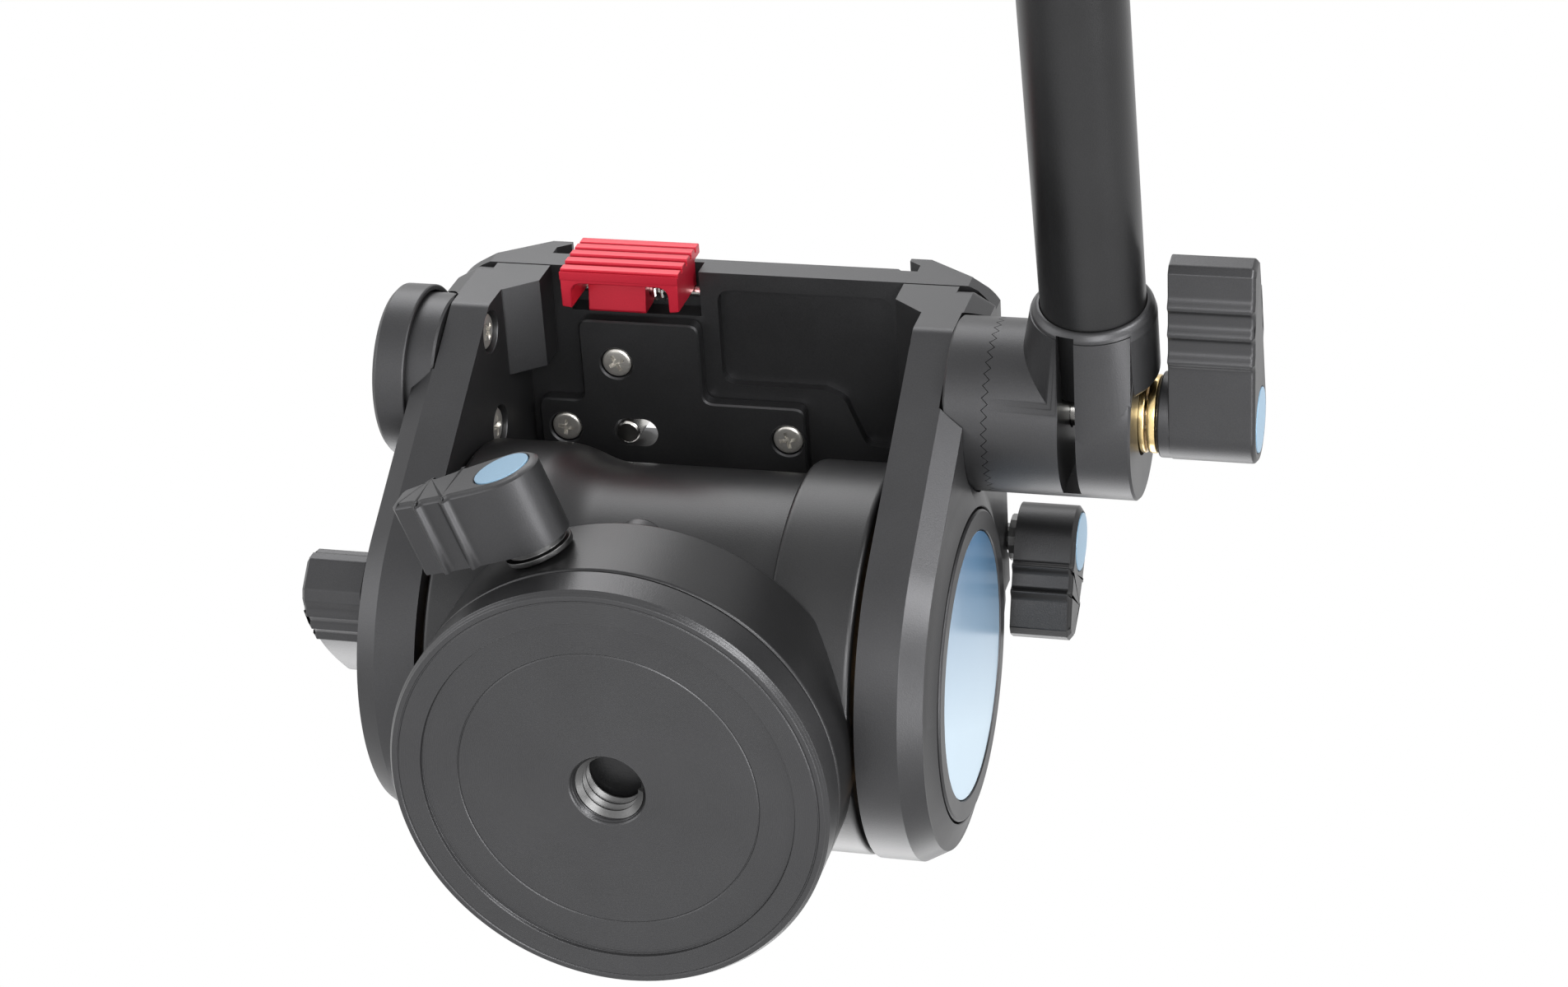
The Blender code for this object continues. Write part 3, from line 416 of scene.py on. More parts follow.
class Bench:
    """Modelling steps with Blender's operators, shared by every sub-assembly."""

    @staticmethod
    def clear() -> None:
        """Leave edit mode and deselect everything."""
        if bpy.context.object and bpy.context.object.mode != "OBJECT":
            bpy.ops.object.mode_set(mode="OBJECT")
        bpy.ops.object.select_all(action="DESELECT")

    @staticmethod
    def pick(piece: bpy.types.Object) -> None:
        """Make a piece the only selected and active object."""
        Bench.clear()
        piece.select_set(True)
        bpy.context.view_layer.objects.active = piece

    @staticmethod
    def wire(name: str, points: list[Spot]) -> bpy.types.Object:
        """A circle primitive with its corners brought to the given places, left in edit mode, all selected.

        Args:
            name: the object's name.
            points: places in millimetres.

        Returns:
            The object.
        """
        Bench.clear()
        bpy.ops.mesh.primitive_circle_add(vertices=len(points), radius=MM, fill_type="NOTHING")
        piece = bpy.context.object
        piece.name = name
        for corner, point in zip(piece.data.vertices, points):
            corner.co = Vector(point) * MM
        bpy.ops.object.mode_set(mode="EDIT")
        bpy.ops.mesh.select_mode(type="VERT")
        bpy.ops.mesh.select_all(action="SELECT")
        return piece

    @staticmethod
    def seal(piece: bpy.types.Object) -> bpy.types.Object:
        """Merge doubles, turn the faces outwards and leave edit mode.

        Args:
            piece: the piece, in edit mode.

        Returns:
            The piece.
        """
        bpy.ops.mesh.select_all(action="SELECT")
        bpy.ops.mesh.remove_doubles(threshold=1e-7)
        bpy.ops.mesh.normals_make_consistent(inside=False)
        bpy.ops.object.mode_set(mode="OBJECT")
        return piece

    @staticmethod
    def turned(name: str, profile: list[Point], steps: int = 96, along: Along = Along.Z,
               centre: Spot = (0.0, 0.0, 0.0), rounding: float = 0.0,
               place: Matrix | None = None) -> bpy.types.Object:
        """Spin a profile of (radius, height) into a turned piece.

        Args:
            name: the object's name.
            profile: corners; one that starts and ends on the axis makes a solid, any other a ring.
            steps: faces round the axis.
            along: direction of the axis.
            centre: a point on the axis; heights count from it.
            rounding: radius put on the profile's corners.
            place: a frame that the piece is built in, instead of along and centre.

        Returns:
            The piece.
        """
        solid = profile[0][0] < 1e-6
        line = fillet(profile, rounding, closed=not solid) if rounding else list(profile)
        piece = Bench.wire(name, [(r, 0.0, h) for r, h in line])
        if solid:
            bpy.ops.object.mode_set(mode="OBJECT")
            last = len(line) - 1
            for item in list(piece.data.vertices) + list(piece.data.edges):
                item.select = False
            for edge in piece.data.edges:
                edge.select = set(edge.vertices) == {0, last}
            bpy.ops.object.mode_set(mode="EDIT")
            bpy.ops.mesh.select_mode(type="EDGE")
            bpy.ops.mesh.delete(type="EDGE")
            bpy.ops.mesh.select_mode(type="VERT")
            bpy.ops.mesh.select_all(action="SELECT")
        bpy.ops.mesh.spin(steps=steps, angle=2 * pi, center=(0, 0, 0), axis=(0, 0, 1))
        Bench.seal(piece)
        piece.data.transform(place if place else Matrix.Translation(Vector(centre) * MM) @ along.matrix())
        return piece

    @staticmethod
    def plug(name: str, line: list[Point], steps: int = 96, **where: object) -> bpy.types.Object:
        """A solid turned piece with flat ends.

        Args:
            name: the object's name.
            line: its corners (radius, height) between the two ends.
            steps: faces round the axis.
            where: along, centre, rounding and place, as in turned.

        Returns:
            The piece.
        """
        return Bench.turned(name, [(0, line[0][1]), *line, (0, line[-1][1])], steps, **where)

    @staticmethod
    def drill(piece: bpy.types.Object, line: list[Point], steps: int = 96, **where: object) -> None:
        """Cut a turned hole into a piece.

        Args:
            piece: the piece.
            line: the hole's corners, as in plug.
            steps: faces round the hole.
            where: along, centre and place, as in turned.
        """
        Bench.boolean(piece, Bench.plug("hole", line, steps, **where))

    @staticmethod
    def slab(name: str, outline: list[Point], low: float, high: float, along: Along = Along.X,
             chamfer: Point | None = None, place: Matrix | None = None) -> bpy.types.Object:
        """Pull an outline into a slab.

        Args:
            name: the object's name.
            outline: corners in the plane across the thickness: (y, z) for X, (x, z) for Y, (x, y) for Z.
            low: where the slab starts.
            high: where its outline ends.
            along: direction of the thickness.
            chamfer: width and depth of a sloping edge beyond high.
            place: a frame that the piece is built in.

        Returns:
            The piece.
        """
        lift = {Along.X: lambda a, b: (low, a, b), Along.Y: lambda a, b: (a, low, b),
                Along.Z: lambda a, b: (a, b, low)}
        piece = Bench.wire(name, [lift[along](a, b) for a, b in outline])
        bpy.ops.mesh.edge_face_add()
        step = Vector({Along.X: (1, 0, 0), Along.Y: (0, 1, 0), Along.Z: (0, 0, 1)}[along]) * (high - low) * MM
        bpy.ops.mesh.extrude_region_move(TRANSFORM_OT_translate={"value": tuple(step)})
        if chamfer:
            bpy.ops.mesh.select_mode(type="FACE")
            bpy.ops.mesh.inset(thickness=chamfer[0] * MM, depth=0)
            bpy.ops.transform.translate(value=tuple(step.normalized() * chamfer[1] * MM))
        Bench.seal(piece)
        if place:
            piece.data.transform(place)
        return piece

    @staticmethod
    def block(name: str, low: Spot, high: Spot) -> bpy.types.Object:
        """A cube primitive stretched between two corners, for cutting.

        Args:
            name: the object's name.
            low: its corner with the smallest coordinates.
            high: its corner with the largest coordinates.

        Returns:
            The block.
        """
        Bench.clear()
        bpy.ops.mesh.primitive_cube_add(size=MM)
        piece = bpy.context.object
        piece.name = name
        size, middle = Vector(high) - Vector(low), (Vector(high) + Vector(low)) / 2
        piece.data.transform(Matrix.Translation(middle * MM) @ Matrix.Diagonal((*size, 1)))
        return piece

    @staticmethod
    def boolean(piece: bpy.types.Object, tool: bpy.types.Object, operation: str = "DIFFERENCE") -> bpy.types.Object:
        """Cut, join or trim a piece with a tool, which is used up.

        Args:
            piece: the piece.
            tool: the tool's object.
            operation: DIFFERENCE, UNION or INTERSECT.

        Returns:
            The piece.
        """
        Bench.pick(piece)
        change = piece.modifiers.new("cut", "BOOLEAN")
        change.operation = operation
        change.solver = "EXACT"
        change.object = tool
        bpy.ops.object.modifier_apply(modifier=change.name)
        bpy.data.objects.remove(tool, do_unlink=True)
        return piece

    @staticmethod
    def ease(piece: bpy.types.Object, width: float, segments: int = 3, angle: float = 32.0) -> bpy.types.Object:
        """Round a piece's sharp edges with an applied bevel.

        Args:
            piece: the piece.
            width: the rounding's width in millimetres.
            segments: faces across the rounding.
            angle: the least turn between faces, in degrees, that counts as an edge.

        Returns:
            The piece.
        """
        Bench.pick(piece)
        bevel = piece.modifiers.new("round", "BEVEL")
        bevel.width = width * MM
        bevel.segments = segments
        bevel.limit_method = "ANGLE"
        bevel.angle_limit = radians(angle)
        bevel.use_clamp_overlap = True
        bevel.miter_outer = "MITER_ARC"
        bpy.ops.object.modifier_apply(modifier=bevel.name)
        return piece

    @staticmethod
    def melt(piece: bpy.types.Object) -> None:
        """Melt coplanar faces into one, so that no seam runs across them.

        Args:
            piece: the piece.
        """
        Bench.pick(piece)
        bpy.ops.object.mode_set(mode="EDIT")
        bpy.ops.mesh.select_all(action="SELECT")
        bpy.ops.mesh.remove_doubles(threshold=1e-6)
        bpy.ops.mesh.dissolve_limited(angle_limit=radians(0.6))
        bpy.ops.object.mode_set(mode="OBJECT")

    @staticmethod
    def join(piece: bpy.types.Object, *others: bpy.types.Object) -> bpy.types.Object:
        """Join closed shells into one piece.

        Args:
            piece: the piece that stays.
            others: the shells that it takes in.

        Returns:
            The piece.
        """
        Bench.pick(piece)
        for other in others:
            other.select_set(True)
        bpy.ops.object.join()
        return piece

    @staticmethod
    def copy(piece: bpy.types.Object, name: str, place: Matrix) -> bpy.types.Object:
        """A copy of a piece with its own mesh.

        Args:
            piece: the piece.
            name: the copy's name.
            place: matrix that moves the copy.

        Returns:
            The copy.
        """
        Bench.pick(piece)
        bpy.ops.object.duplicate()
        twin = bpy.context.object
        twin.name = name
        twin.data.transform(place)
        return twin

    @staticmethod
    def mirror(piece: bpy.types.Object) -> None:
        """Mirror a piece from the right side to the left."""
        piece.data.transform(Matrix.Diagonal((-1, 1, 1, 1)))
        piece.data.flip_normals()

    @staticmethod
    def finish(piece: bpy.types.Object, look: Finish, body: str, *nodes: str) -> bpy.types.Object:
        """Shade and dress a piece, set it on its body and let it stand for CAD nodes.

        Args:
            piece: the piece, in its place.
            look: its finish.
            body: the body that it moves with.
            nodes: the CAD nodes that it replaces.

        Returns:
            The piece.
        """
        Bench.pick(piece)
        bpy.ops.object.shade_smooth_by_angle(angle=radians(38))
        weighted = piece.modifiers.new("even", "WEIGHTED_NORMAL")
        weighted.keep_sharp = True
        bpy.ops.object.modifier_apply(modifier=weighted.name)
        piece.data.materials.clear()
        piece.data.materials.append(look.material())
        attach(piece, body)
        if nodes:
            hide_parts(*nodes)
        LOG.info("%s: %d faces on %s", piece.name, len(piece.data.polygons), body)
        return piece


def lever_frame(at: Spot, outward: Spot, pointing: Spot) -> Matrix:
    """Frame of a lever: X along its hub axis outwards, Y along its wing, in metres.

    Args:
        at: the hub's foot in millimetres.
        outward: direction of the hub axis.
        pointing: direction of the wing.

    Returns:
        The frame as a matrix.
    """
    x = Vector(outward).normalized()
    y = Vector(pointing).normalized()
    turn = Matrix((x, y, x.cross(y))).transposed().to_4x4()
    return Matrix.Translation(Vector(at) * MM) @ turn


def side_direction(angle: float) -> Spot:
    """Direction in the Y-Z plane, counted in degrees from +Y towards +Z."""
    return 0.0, cos(radians(angle)), sin(radians(angle))


# Sub-assemblies, each a class with its own sizes.


@dataclass
class BaseFlange:
    """Round base with its stepped underside and threaded hole."""

    radius: float = 30.0
    height: float = 6.0
    step_radius: float = 25.4
    step: float = 0.5
    disc_radius: float = 20.4
    groove_radius: float = 28.5
    hole_radius: float = 4.72
    core_radius: float = 3.95
    sink_radius: float = 5.1
    depth: float = 12.5
    pitch: float = 1.5875
    turns: int = 6
    thread_start: float = 1.9
    boss_radius: float = 7.7
    boss_top: float = 14.0

    def build(self) -> None:
        """Model the flange and its thread."""
        r, s, hole, sink = self.radius, self.step, self.hole_radius, self.sink_radius
        disc, groove = self.disc_radius, self.groove_radius
        line = [(hole, self.depth), (hole, s + 1.1), (sink, s + 0.5), (sink + 0.2, s + 0.25),
                (disc, s + 0.25), (disc + 0.15, s + 0.4), (disc + 0.3, s + 0.25),
                (self.step_radius, s), (self.step_radius + 0.15, 0.0),
                (groove, 0.0), (groove + 0.1, 0.12), (groove + 0.25, 0.12), (groove + 0.35, 0.0),
                (r - 0.55, 0.0), (r, 0.9), (r, self.height - 0.3), (r - 0.3, self.height),
                (self.boss_radius, self.height), (self.boss_radius, self.boss_top)]
        flange = Bench.plug("flange_plate", line, 160, rounding=0.12)
        Bench.finish(flange, UNDERSIDE, "base", "base_flange")
        Bench.finish(self.thread(), THREAD, "base")

    def thread(self) -> bpy.types.Object:
        """The hole's thread: a ridge wound through it.

        Returns:
            The ridge.
        """
        half, crest, root = self.pitch / 2 - 0.06, self.core_radius, self.hole_radius + 0.1
        ridge = Bench.wire("hole_thread", [(root, 0, -half), (crest, 0, -0.12), (crest, 0, 0.12), (root, 0, half)])
        bpy.ops.object.mode_set(mode="OBJECT")
        winding = ridge.modifiers.new("wind", "SCREW")
        winding.axis = "Z"
        winding.angle = 2 * pi
        winding.screw_offset = self.pitch * MM
        winding.iterations = self.turns
        winding.steps = winding.render_steps = 48
        Bench.pick(ridge)
        bpy.ops.object.modifier_apply(modifier=winding.name)
        bpy.ops.object.mode_set(mode="EDIT")
        bpy.ops.mesh.select_mode(type="EDGE")
        bpy.ops.mesh.select_all(action="DESELECT")
        bpy.ops.mesh.select_non_manifold()
        bpy.ops.mesh.fill_holes(sides=0)
        Bench.seal(ridge)
        ridge.data.transform(Matrix.Translation((0, 0, self.thread_start * MM)))
        return ridge


@dataclass
class PanHousing:
    """Upright cylinder on the base with the drum across it, and the round level on its ledge."""

    radius: float = 30.0
    low: float = 6.3
    high: float = 19.4
    drum_radius: float = 27.0
    waist_radius: float = 24.8
    drum_half: float = 29.7
    drum_step: float = 17.8
    slope_start: float = -19.0
    slope_length: float = 9.0
    level: Point = (0.7, -26.0)
    level_radius: float = 3.4

    def build(self) -> None:
        """Model the housing and the level."""
        r, end, step = self.radius, self.drum_half, self.drum_step
        wide, waist = self.drum_radius, self.waist_radius
        body = Bench.plug("housing_casting", [(r, self.low), (r, self.high)], 128, rounding=0.5)
        slope = [(waist + (wide - waist) * (0.5 + 0.5 * cos(pi * i / 12)),
                  self.slope_start + self.slope_length * i / 12) for i in range(13)]
        outline = [(0, -end)] + fillet([(0, -end), (wide, -end), slope[0]], 0.9)[1:-1] + slope
        outline += fillet([slope[-1], (waist, step), (wide, step + 0.02)], 0.4)[1:-1]
        outline += fillet([(waist, step + 0.02), (wide, step + 0.02), (wide, end), (0, end)], 0.9)[1:]
        Bench.boolean(body, Bench.turned("drum", outline, 128, **across(0, TILT_Z)), "UNION")
        Bench.drill(body, [(2.4, -19), (2.4, 3)], 32, place=lever_frame(*PanLock().frame) @ Along.X.matrix())
        at = (*self.level, 0)
        Bench.drill(body, [(3.2, 16.9), (3.2, 21)], 32, centre=at)
        Bench.finish(body, SATIN_BLACK, "pan_body", "pan_housing")
        wide = self.level_radius
        rim = Bench.turned("level_rim", [(2.6, 17.2), (2.9, 17.2), (2.9, 19.7), (wide, 19.7), (wide, 21.5),
                                         (wide - 0.45, 22.4), (2.6, 22.5)], 64, centre=at, rounding=0.3)
        Bench.finish(rim, ANODISED, "pan_body", "level_ring")
        glass = Bench.turned("level_window", [(0, 17.2), (2.3, 17.2), (2.3, 22.0), (1.6, 22.3), (0, 22.4)], 48,
                             centre=at, rounding=0.3)
        Bench.finish(glass, VIAL, "pan_body", "level_vial")


@dataclass
class WingLever:
    """A wing lever: round hub, tapering wing with cross ridges, and a small inlay disc on the hub.

    The hub axis is the frame's X and the wing points along its Y.
    """

    name: str
    body: str
    node: str
    inlay_node: str
    frame: tuple[Spot, Spot, Spot]
    look: Finish
    depth: float
    hub_radius: float
    reach: float
    tip: float
    bend: float
    bend_below: float
    ridges: tuple[float, ...]
    rise: float
    width: float
    inlay_radius: float
    hole_radius: float
    hole_depth: float
    edge: float = 0.8
    boss: Point | None = None

    def half_width(self, s: float, bend: float) -> float:
        """Half width of the wing, s millimetres out from the hub axis."""
        return self.tip + (self.hub_radius - self.tip) * (1 - (max(s, 0.0) / self.reach) ** bend)

    def side(self, bend: float) -> list[Point]:
        """One side of the wing from the hub to the tip, with its ridges as smooth waves.

        Args:
            bend: how long the wing stays wide.

        Returns:
            The side's points, as distance from the hub axis and half width.
        """
        points: list[Point] = []
        count = 90
        for i in range(count + 1):
            s = 0.4 + (self.reach - 1.3) * i / count
            swell = 0.0
            for at in self.ridges:
                if abs(s - at) < self.width:
                    swell = max(swell, self.rise * (0.5 + 0.5 * cos(pi * (s - at) / self.width)) ** 1.6)
            points.append((s, self.half_width(s, bend) + swell))
        return points + [(self.reach - 0.1, self.tip - 0.9)]

    def build(self) -> None:
        """Model the lever and its inlay."""
        upper = self.side(self.bend)
        lower = [(a, -b) for a, b in reversed(self.side(self.bend_below))]
        outline = upper[:-3] + fillet([*upper[-3:], (self.reach - 0.1, 0.9 - self.tip), *lower[1:3]], 0.8)
        outline += lower[3:] + arc(self.hub_radius, 1.5 * pi, 0.5 * pi, 36)
        place, slope = lever_frame(*self.frame), self.edge * 0.75
        body = Bench.slab(self.name, outline, 0.0, self.depth - slope, chamfer=(self.edge, slope))
        Bench.ease(body, 0.22, segments=2, angle=40)
        if self.boss:
            wide, low = self.boss
            Bench.join(body, Bench.plug("boss", [(wide, low), (wide, 0.4)], 64, along=Along.X, rounding=0.3))
        d, r = self.depth, self.inlay_radius
        Bench.drill(body, [(r + 0.12, d - 0.5), (r + 0.12, d - 0.15), (r + 0.3, d + 0.05), (r + 0.3, d + 1)], 64,
                    along=Along.X)
        Bench.drill(body, [(self.hole_radius, -3), (self.hole_radius, self.hole_depth)], 32, along=Along.X)
        body.data.transform(place)
        Bench.finish(body, self.look, self.body, self.node)
        inlay = Bench.turned(self.name + "_disc", [(0, d - 0.4), (r, d - 0.4), (r, d + 0.1), (0, d + 0.12)], 64,
                             along=Along.X, rounding=0.12)
        inlay.data.transform(place)
        Bench.finish(inlay, PALE_BLUE, self.body, self.inlay_node)


@dataclass
class PanLock:
    """Pan lock: a wing lever on a stepped stud in the housing's wall."""

    azimuth: float = 250.0
    height: float = 12.9
    reach_out: float = 32.2

    @property
    def frame(self) -> tuple[Spot, Spot, Spot]:
        """Place, hub axis and wing direction."""
        x, y = cos(radians(self.azimuth)), sin(radians(self.azimuth))
        return (x * self.reach_out, y * self.reach_out, self.height), (x, y, 0.0), (y, -x, 0.0)

    def build(self) -> None:
        """Model the lever and its stud."""
        WingLever("pan_wing", "pan_lock", "pan_lock_lever", "pan_lock_inlay", self.frame, ANODISED, depth=10.6,
                  hub_radius=5.0, reach=16.4, tip=2.4, bend=1.6, bend_below=1.6, ridges=(7.4, 11.8), rise=0.85,
                  width=1.2, inlay_radius=3.8, hole_radius=2.3, hole_depth=7.5).build()
        stud = Bench.plug("pan_lock_collar", [(2.0, -12.6), (2.0, -1.9), (4.7, -1.9), (4.7, -1.1), (4.0, -1.0),
                                              (4.0, -0.2), (2.0, -0.2), (2.0, 7.2)],
                          64, rounding=0.18, place=lever_frame(*self.frame) @ Along.X.matrix())
        Bench.finish(stud, DARK_STEEL, "pan_lock", "pan_lock_stud")


@dataclass
class SideLocks:
    """Tilt lock on the left end of the axle and plate lock on the right rail."""

    tilt_x: float = 41.3
    tilt_angle: float = 224.0
    plate_x: float = 41.1
    plate_angle: float = -38.0

    def build(self) -> None:
        """Model both levers."""
        tilt = ((-self.tilt_x, 0.0, TILT_Z), (-1.0, 0.0, 0.0), side_direction(self.tilt_angle))
        WingLever("tilt_wing", "tilt_lock", "tilt_lock_lever", "tilt_lock_inlay", tilt, ANODISED, depth=8.8,
                  hub_radius=7.5, reach=21.0, tip=3.1, bend=1.5, bend_below=3.2, ridges=(13.2, 15.7, 18.2),
                  rise=0.6, width=0.95, inlay_radius=4.6, hole_radius=3.3, hole_depth=6.5).build()
        plate = ((self.plate_x, PLATE_STUD_Y, PLATE_STUD_Z), (1.0, 0.0, 0.0), side_direction(self.plate_angle))
        WingLever("plate_wing", "plate_lock", "plate_lock_lever", "plate_lock_inlay", plate, SATIN_BLACK, depth=8.8,
                  hub_radius=5.2, reach=14.4, tip=2.2, bend=1.6, bend_below=1.6, ridges=(5.0, 8.6), rise=0.75,
                  width=1.1, inlay_radius=4.2, hole_radius=2.3, hole_depth=6.5).build()


@dataclass
class Arms:
    """The cradle's two arms with the side caps, rosette hubs and the seats for their screws."""

    inner: float = 30.5
    shoulder: float = 36.3
    outer: float = 39.4
    end_radius: float = 27.3
    inset: float = 1.7
    top: float = 70.4
    rear: float = -42.8
    rear_angle: float = 212.6
    front_angle: float = 48.5
    cap_radius: float = 21.5
    disc_radius: float = 18.5
    band_x: float = 40.5
    hub_radius: float = 12.0
    left_hub_radius: float = 11.2
    hub_x: float = 36.4
    screw_y: tuple[float, float] = (-38.9, -24.1)
    screw_z: float = 55.7
    skirt_radius: float = 12.3

    def outline(self) -> list[Point]:
        """Side outline: a round end on the tilt axis, its tangents and the rear corner.

        Returns:
            The outline as (y, z).
        """
        r = self.end_radius
        start, stop = radians(self.rear_angle), radians(self.front_angle) + 2 * pi
        points = arc(r, start, stop, 72, (0.0, TILT_Z))
        front = (r / cos(stop) - (self.top - TILT_Z) * tan(stop), self.top)
        low = (self.rear, TILT_Z + (r - self.rear * cos(start)) / sin(start))
        corner = fillet([points[-1], front, (self.rear, self.top), low, points[0]], 2.4, parts=6)
        return points + corner[1:-1]

    def arm(self, side: str, sign: int) -> bpy.types.Object:
        """One arm with its round band, rear lip and the seats for its hub and screws.

        Args:
            side: right or left.
            sign: 1 on the right, -1 on the left.

        Returns:
            The arm.
        """
        body = Bench.slab(f"{side}_arm_plate", self.outline(), self.inner, self.shoulder,
                          chamfer=(self.inset, self.outer - self.shoulder))
        lip = Bench.slab("lip", [(26.0, self.top), (26.0, 65.2), (30.2, 61.6), (34.0, 60.2), (34.0, self.top)],
                         self.rear, -29.4, along=Along.Y)
        Bench.boolean(body, lip, "UNION")
        Bench.melt(body)
        Bench.ease(body, 0.45, segments=3, angle=24)
        on_tilt = across(0, TILT_Z)
        band = Bench.plug("band", [(25.2, 38.8), (25.45, 39.3), (22.0, self.band_x)], 128, rounding=0.15, **on_tilt)
        Bench.boolean(body, band, "UNION")
        Bench.drill(body, [(7.3, 29), (7.3, 38.9), (21.8, 38.9), (21.8, 40.4), (22.0, 40.6), (22.0, 45)], **on_tilt)
        seat = (self.hub_radius if sign > 0 else self.left_hub_radius) + 0.25
        Bench.drill(body, [(2.6, 33.6), (2.6, 36.1), (seat, 36.1), (seat, 45)], **across(HUB_Y, HUB_Z))
        for y in self.screw_y:
            Bench.drill(body, [(3.2, 28), (3.2, 30.4), (3.0, 30.7), (3.0, 32.3), (1.8, 33.4), (1.8, 38)], 48,
                        **across(y, self.screw_z))
        if sign < 0:
            Bench.mirror(body)
        return Bench.finish(body, ANODISED, "cradle", f"{side}_arm")

    def caps(self) -> None:
        """The side caps, with the glossy disc on the right one."""
        at = across(0, TILT_Z)
        r, d = self.cap_radius, self.disc_radius
        right = Bench.turned("right_cover_ring", [(0, 39.2), (r, 39.2), (r, 40.6), (r - 0.25, 40.85),
                                                  (d + 0.25, 40.85), (d + 0.1, 40.2), (0, 40.1)],
                             128, rounding=0.1, **at)
        Bench.finish(right, ANODISED, "cradle", "right_cap")
        disc = Bench.turned("right_gloss_disc", [(0, 40.2), (d, 40.2), (d, 40.6), (d - 0.15, 40.68), (0, 40.72)],
                            128, **at)
        Bench.finish(disc, GLOSS_BLUE, "cradle", "right_cap_disc")
        left = Bench.turned("left_cover_ring", [(5.2, -39.2), (5.2, -40.4), (r - 0.3, -40.4), (r, -40.1),
                                                (r, -39.2)], 128, rounding=0.15, **at)
        Bench.finish(left, ANODISED, "cradle", "left_cap")

    def toothed_hub(self, side: str, radius: float, top: float) -> None:
        """A rosette hub: a short cylinder whose rim carries the radial teeth.

        Args:
            side: right or left.
            radius: the hub's radius.
            top: X of the middle of its teeth.
        """
        hub = Rosette.ring(f"{side}_toothed_hub", radius, self.hub_x, top, 1)
        if side == "left":
            Bench.mirror(hub)
        hub.data.transform(Matrix.Translation((0, HUB_Y * MM, HUB_Z * MM)))
        Bench.finish(hub, ANODISED, "cradle", f"rosette_hub_{side}")

    def build(self) -> None:
        """Model both arms with all that is fixed on them."""
        self.arm("right", 1)
        self.arm("left", -1)
        self.caps()
        self.toothed_hub("right", self.hub_radius, 42.15)
        self.toothed_hub("left", self.left_hub_radius, 41.1)
        r, skirt = self.left_hub_radius + 0.25, self.skirt_radius
        cover = Bench.plug("left_hub_cover", [(2.3, -38.0), (2.3, -41.9), (r, -41.9), (r, -40.3), (skirt, -40.3),
                                              (skirt, -44.5), (skirt - 0.7, -45.2)],
                           rounding=0.35, **across(HUB_Y, HUB_Z))
        Bench.finish(cover, ANODISED, "cradle", "hub_cover")


class Rosette:
    """Toothed cylinders that mesh face to face.

    SWING is half the teeth's height and ROOT the radius inside which the face stays flat, in millimetres.
    """

    TEETH = 45
    SWING = 0.42
    ROOT = 6.5

    @classmethod
    def ring(cls, name: str, radius: float, foot: float, top: float, sign: int) -> bpy.types.Object:
        """A cylinder about X whose end at top carries radial teeth.

        Args:
            name: the object's name.
            radius: its radius.
            foot: X of the plain end.
            top: X of the middle of the teeth.
            sign: 1 where the teeth point to +X, else -1.

        Returns:
            The piece, on the X axis.
        """
        rim = arc(radius - 0.3, 0.0, 2 * pi, cls.TEETH * 4)[:-1]
        piece = Bench.wire(name, [(foot, y, z) for y, z in rim])
        bpy.ops.mesh.edge_face_add()
        bpy.ops.mesh.select_mode(type="FACE")
        for step, width in ((0.3 * sign, radius), (top - foot - 0.3 * sign, radius), (0.0, cls.ROOT)):
            bpy.ops.mesh.extrude_region_move(TRANSFORM_OT_translate={"value": (step * MM, 0, 0)})
            k = width * MM / max(hypot(v.co.y, v.co.z) for v in cls.picked(piece))
            bpy.ops.transform.resize(value=(1, k, k), center_override=(0, 0, 0))
        Bench.seal(piece)
        for corner in piece.data.vertices:
            reach = hypot(corner.co.y, corner.co.z) / MM
            if abs(corner.co.x / MM - top) < 0.01 and reach > cls.ROOT + 0.5:
                turn = atan2(corner.co.z, corner.co.y) / (2 * pi) * cls.TEETH
                wave = abs((turn % 1.0) * 2 - 1) * 2 - 1
                corner.co.x += -wave * cls.SWING * MM
        return piece

    @staticmethod
    def picked(piece: bpy.types.Object) -> list[bpy.types.MeshVertex]:
        """The selected corners of a piece in edit mode."""
        piece.update_from_editmode()
        return [v for v in piece.data.vertices if v.select]


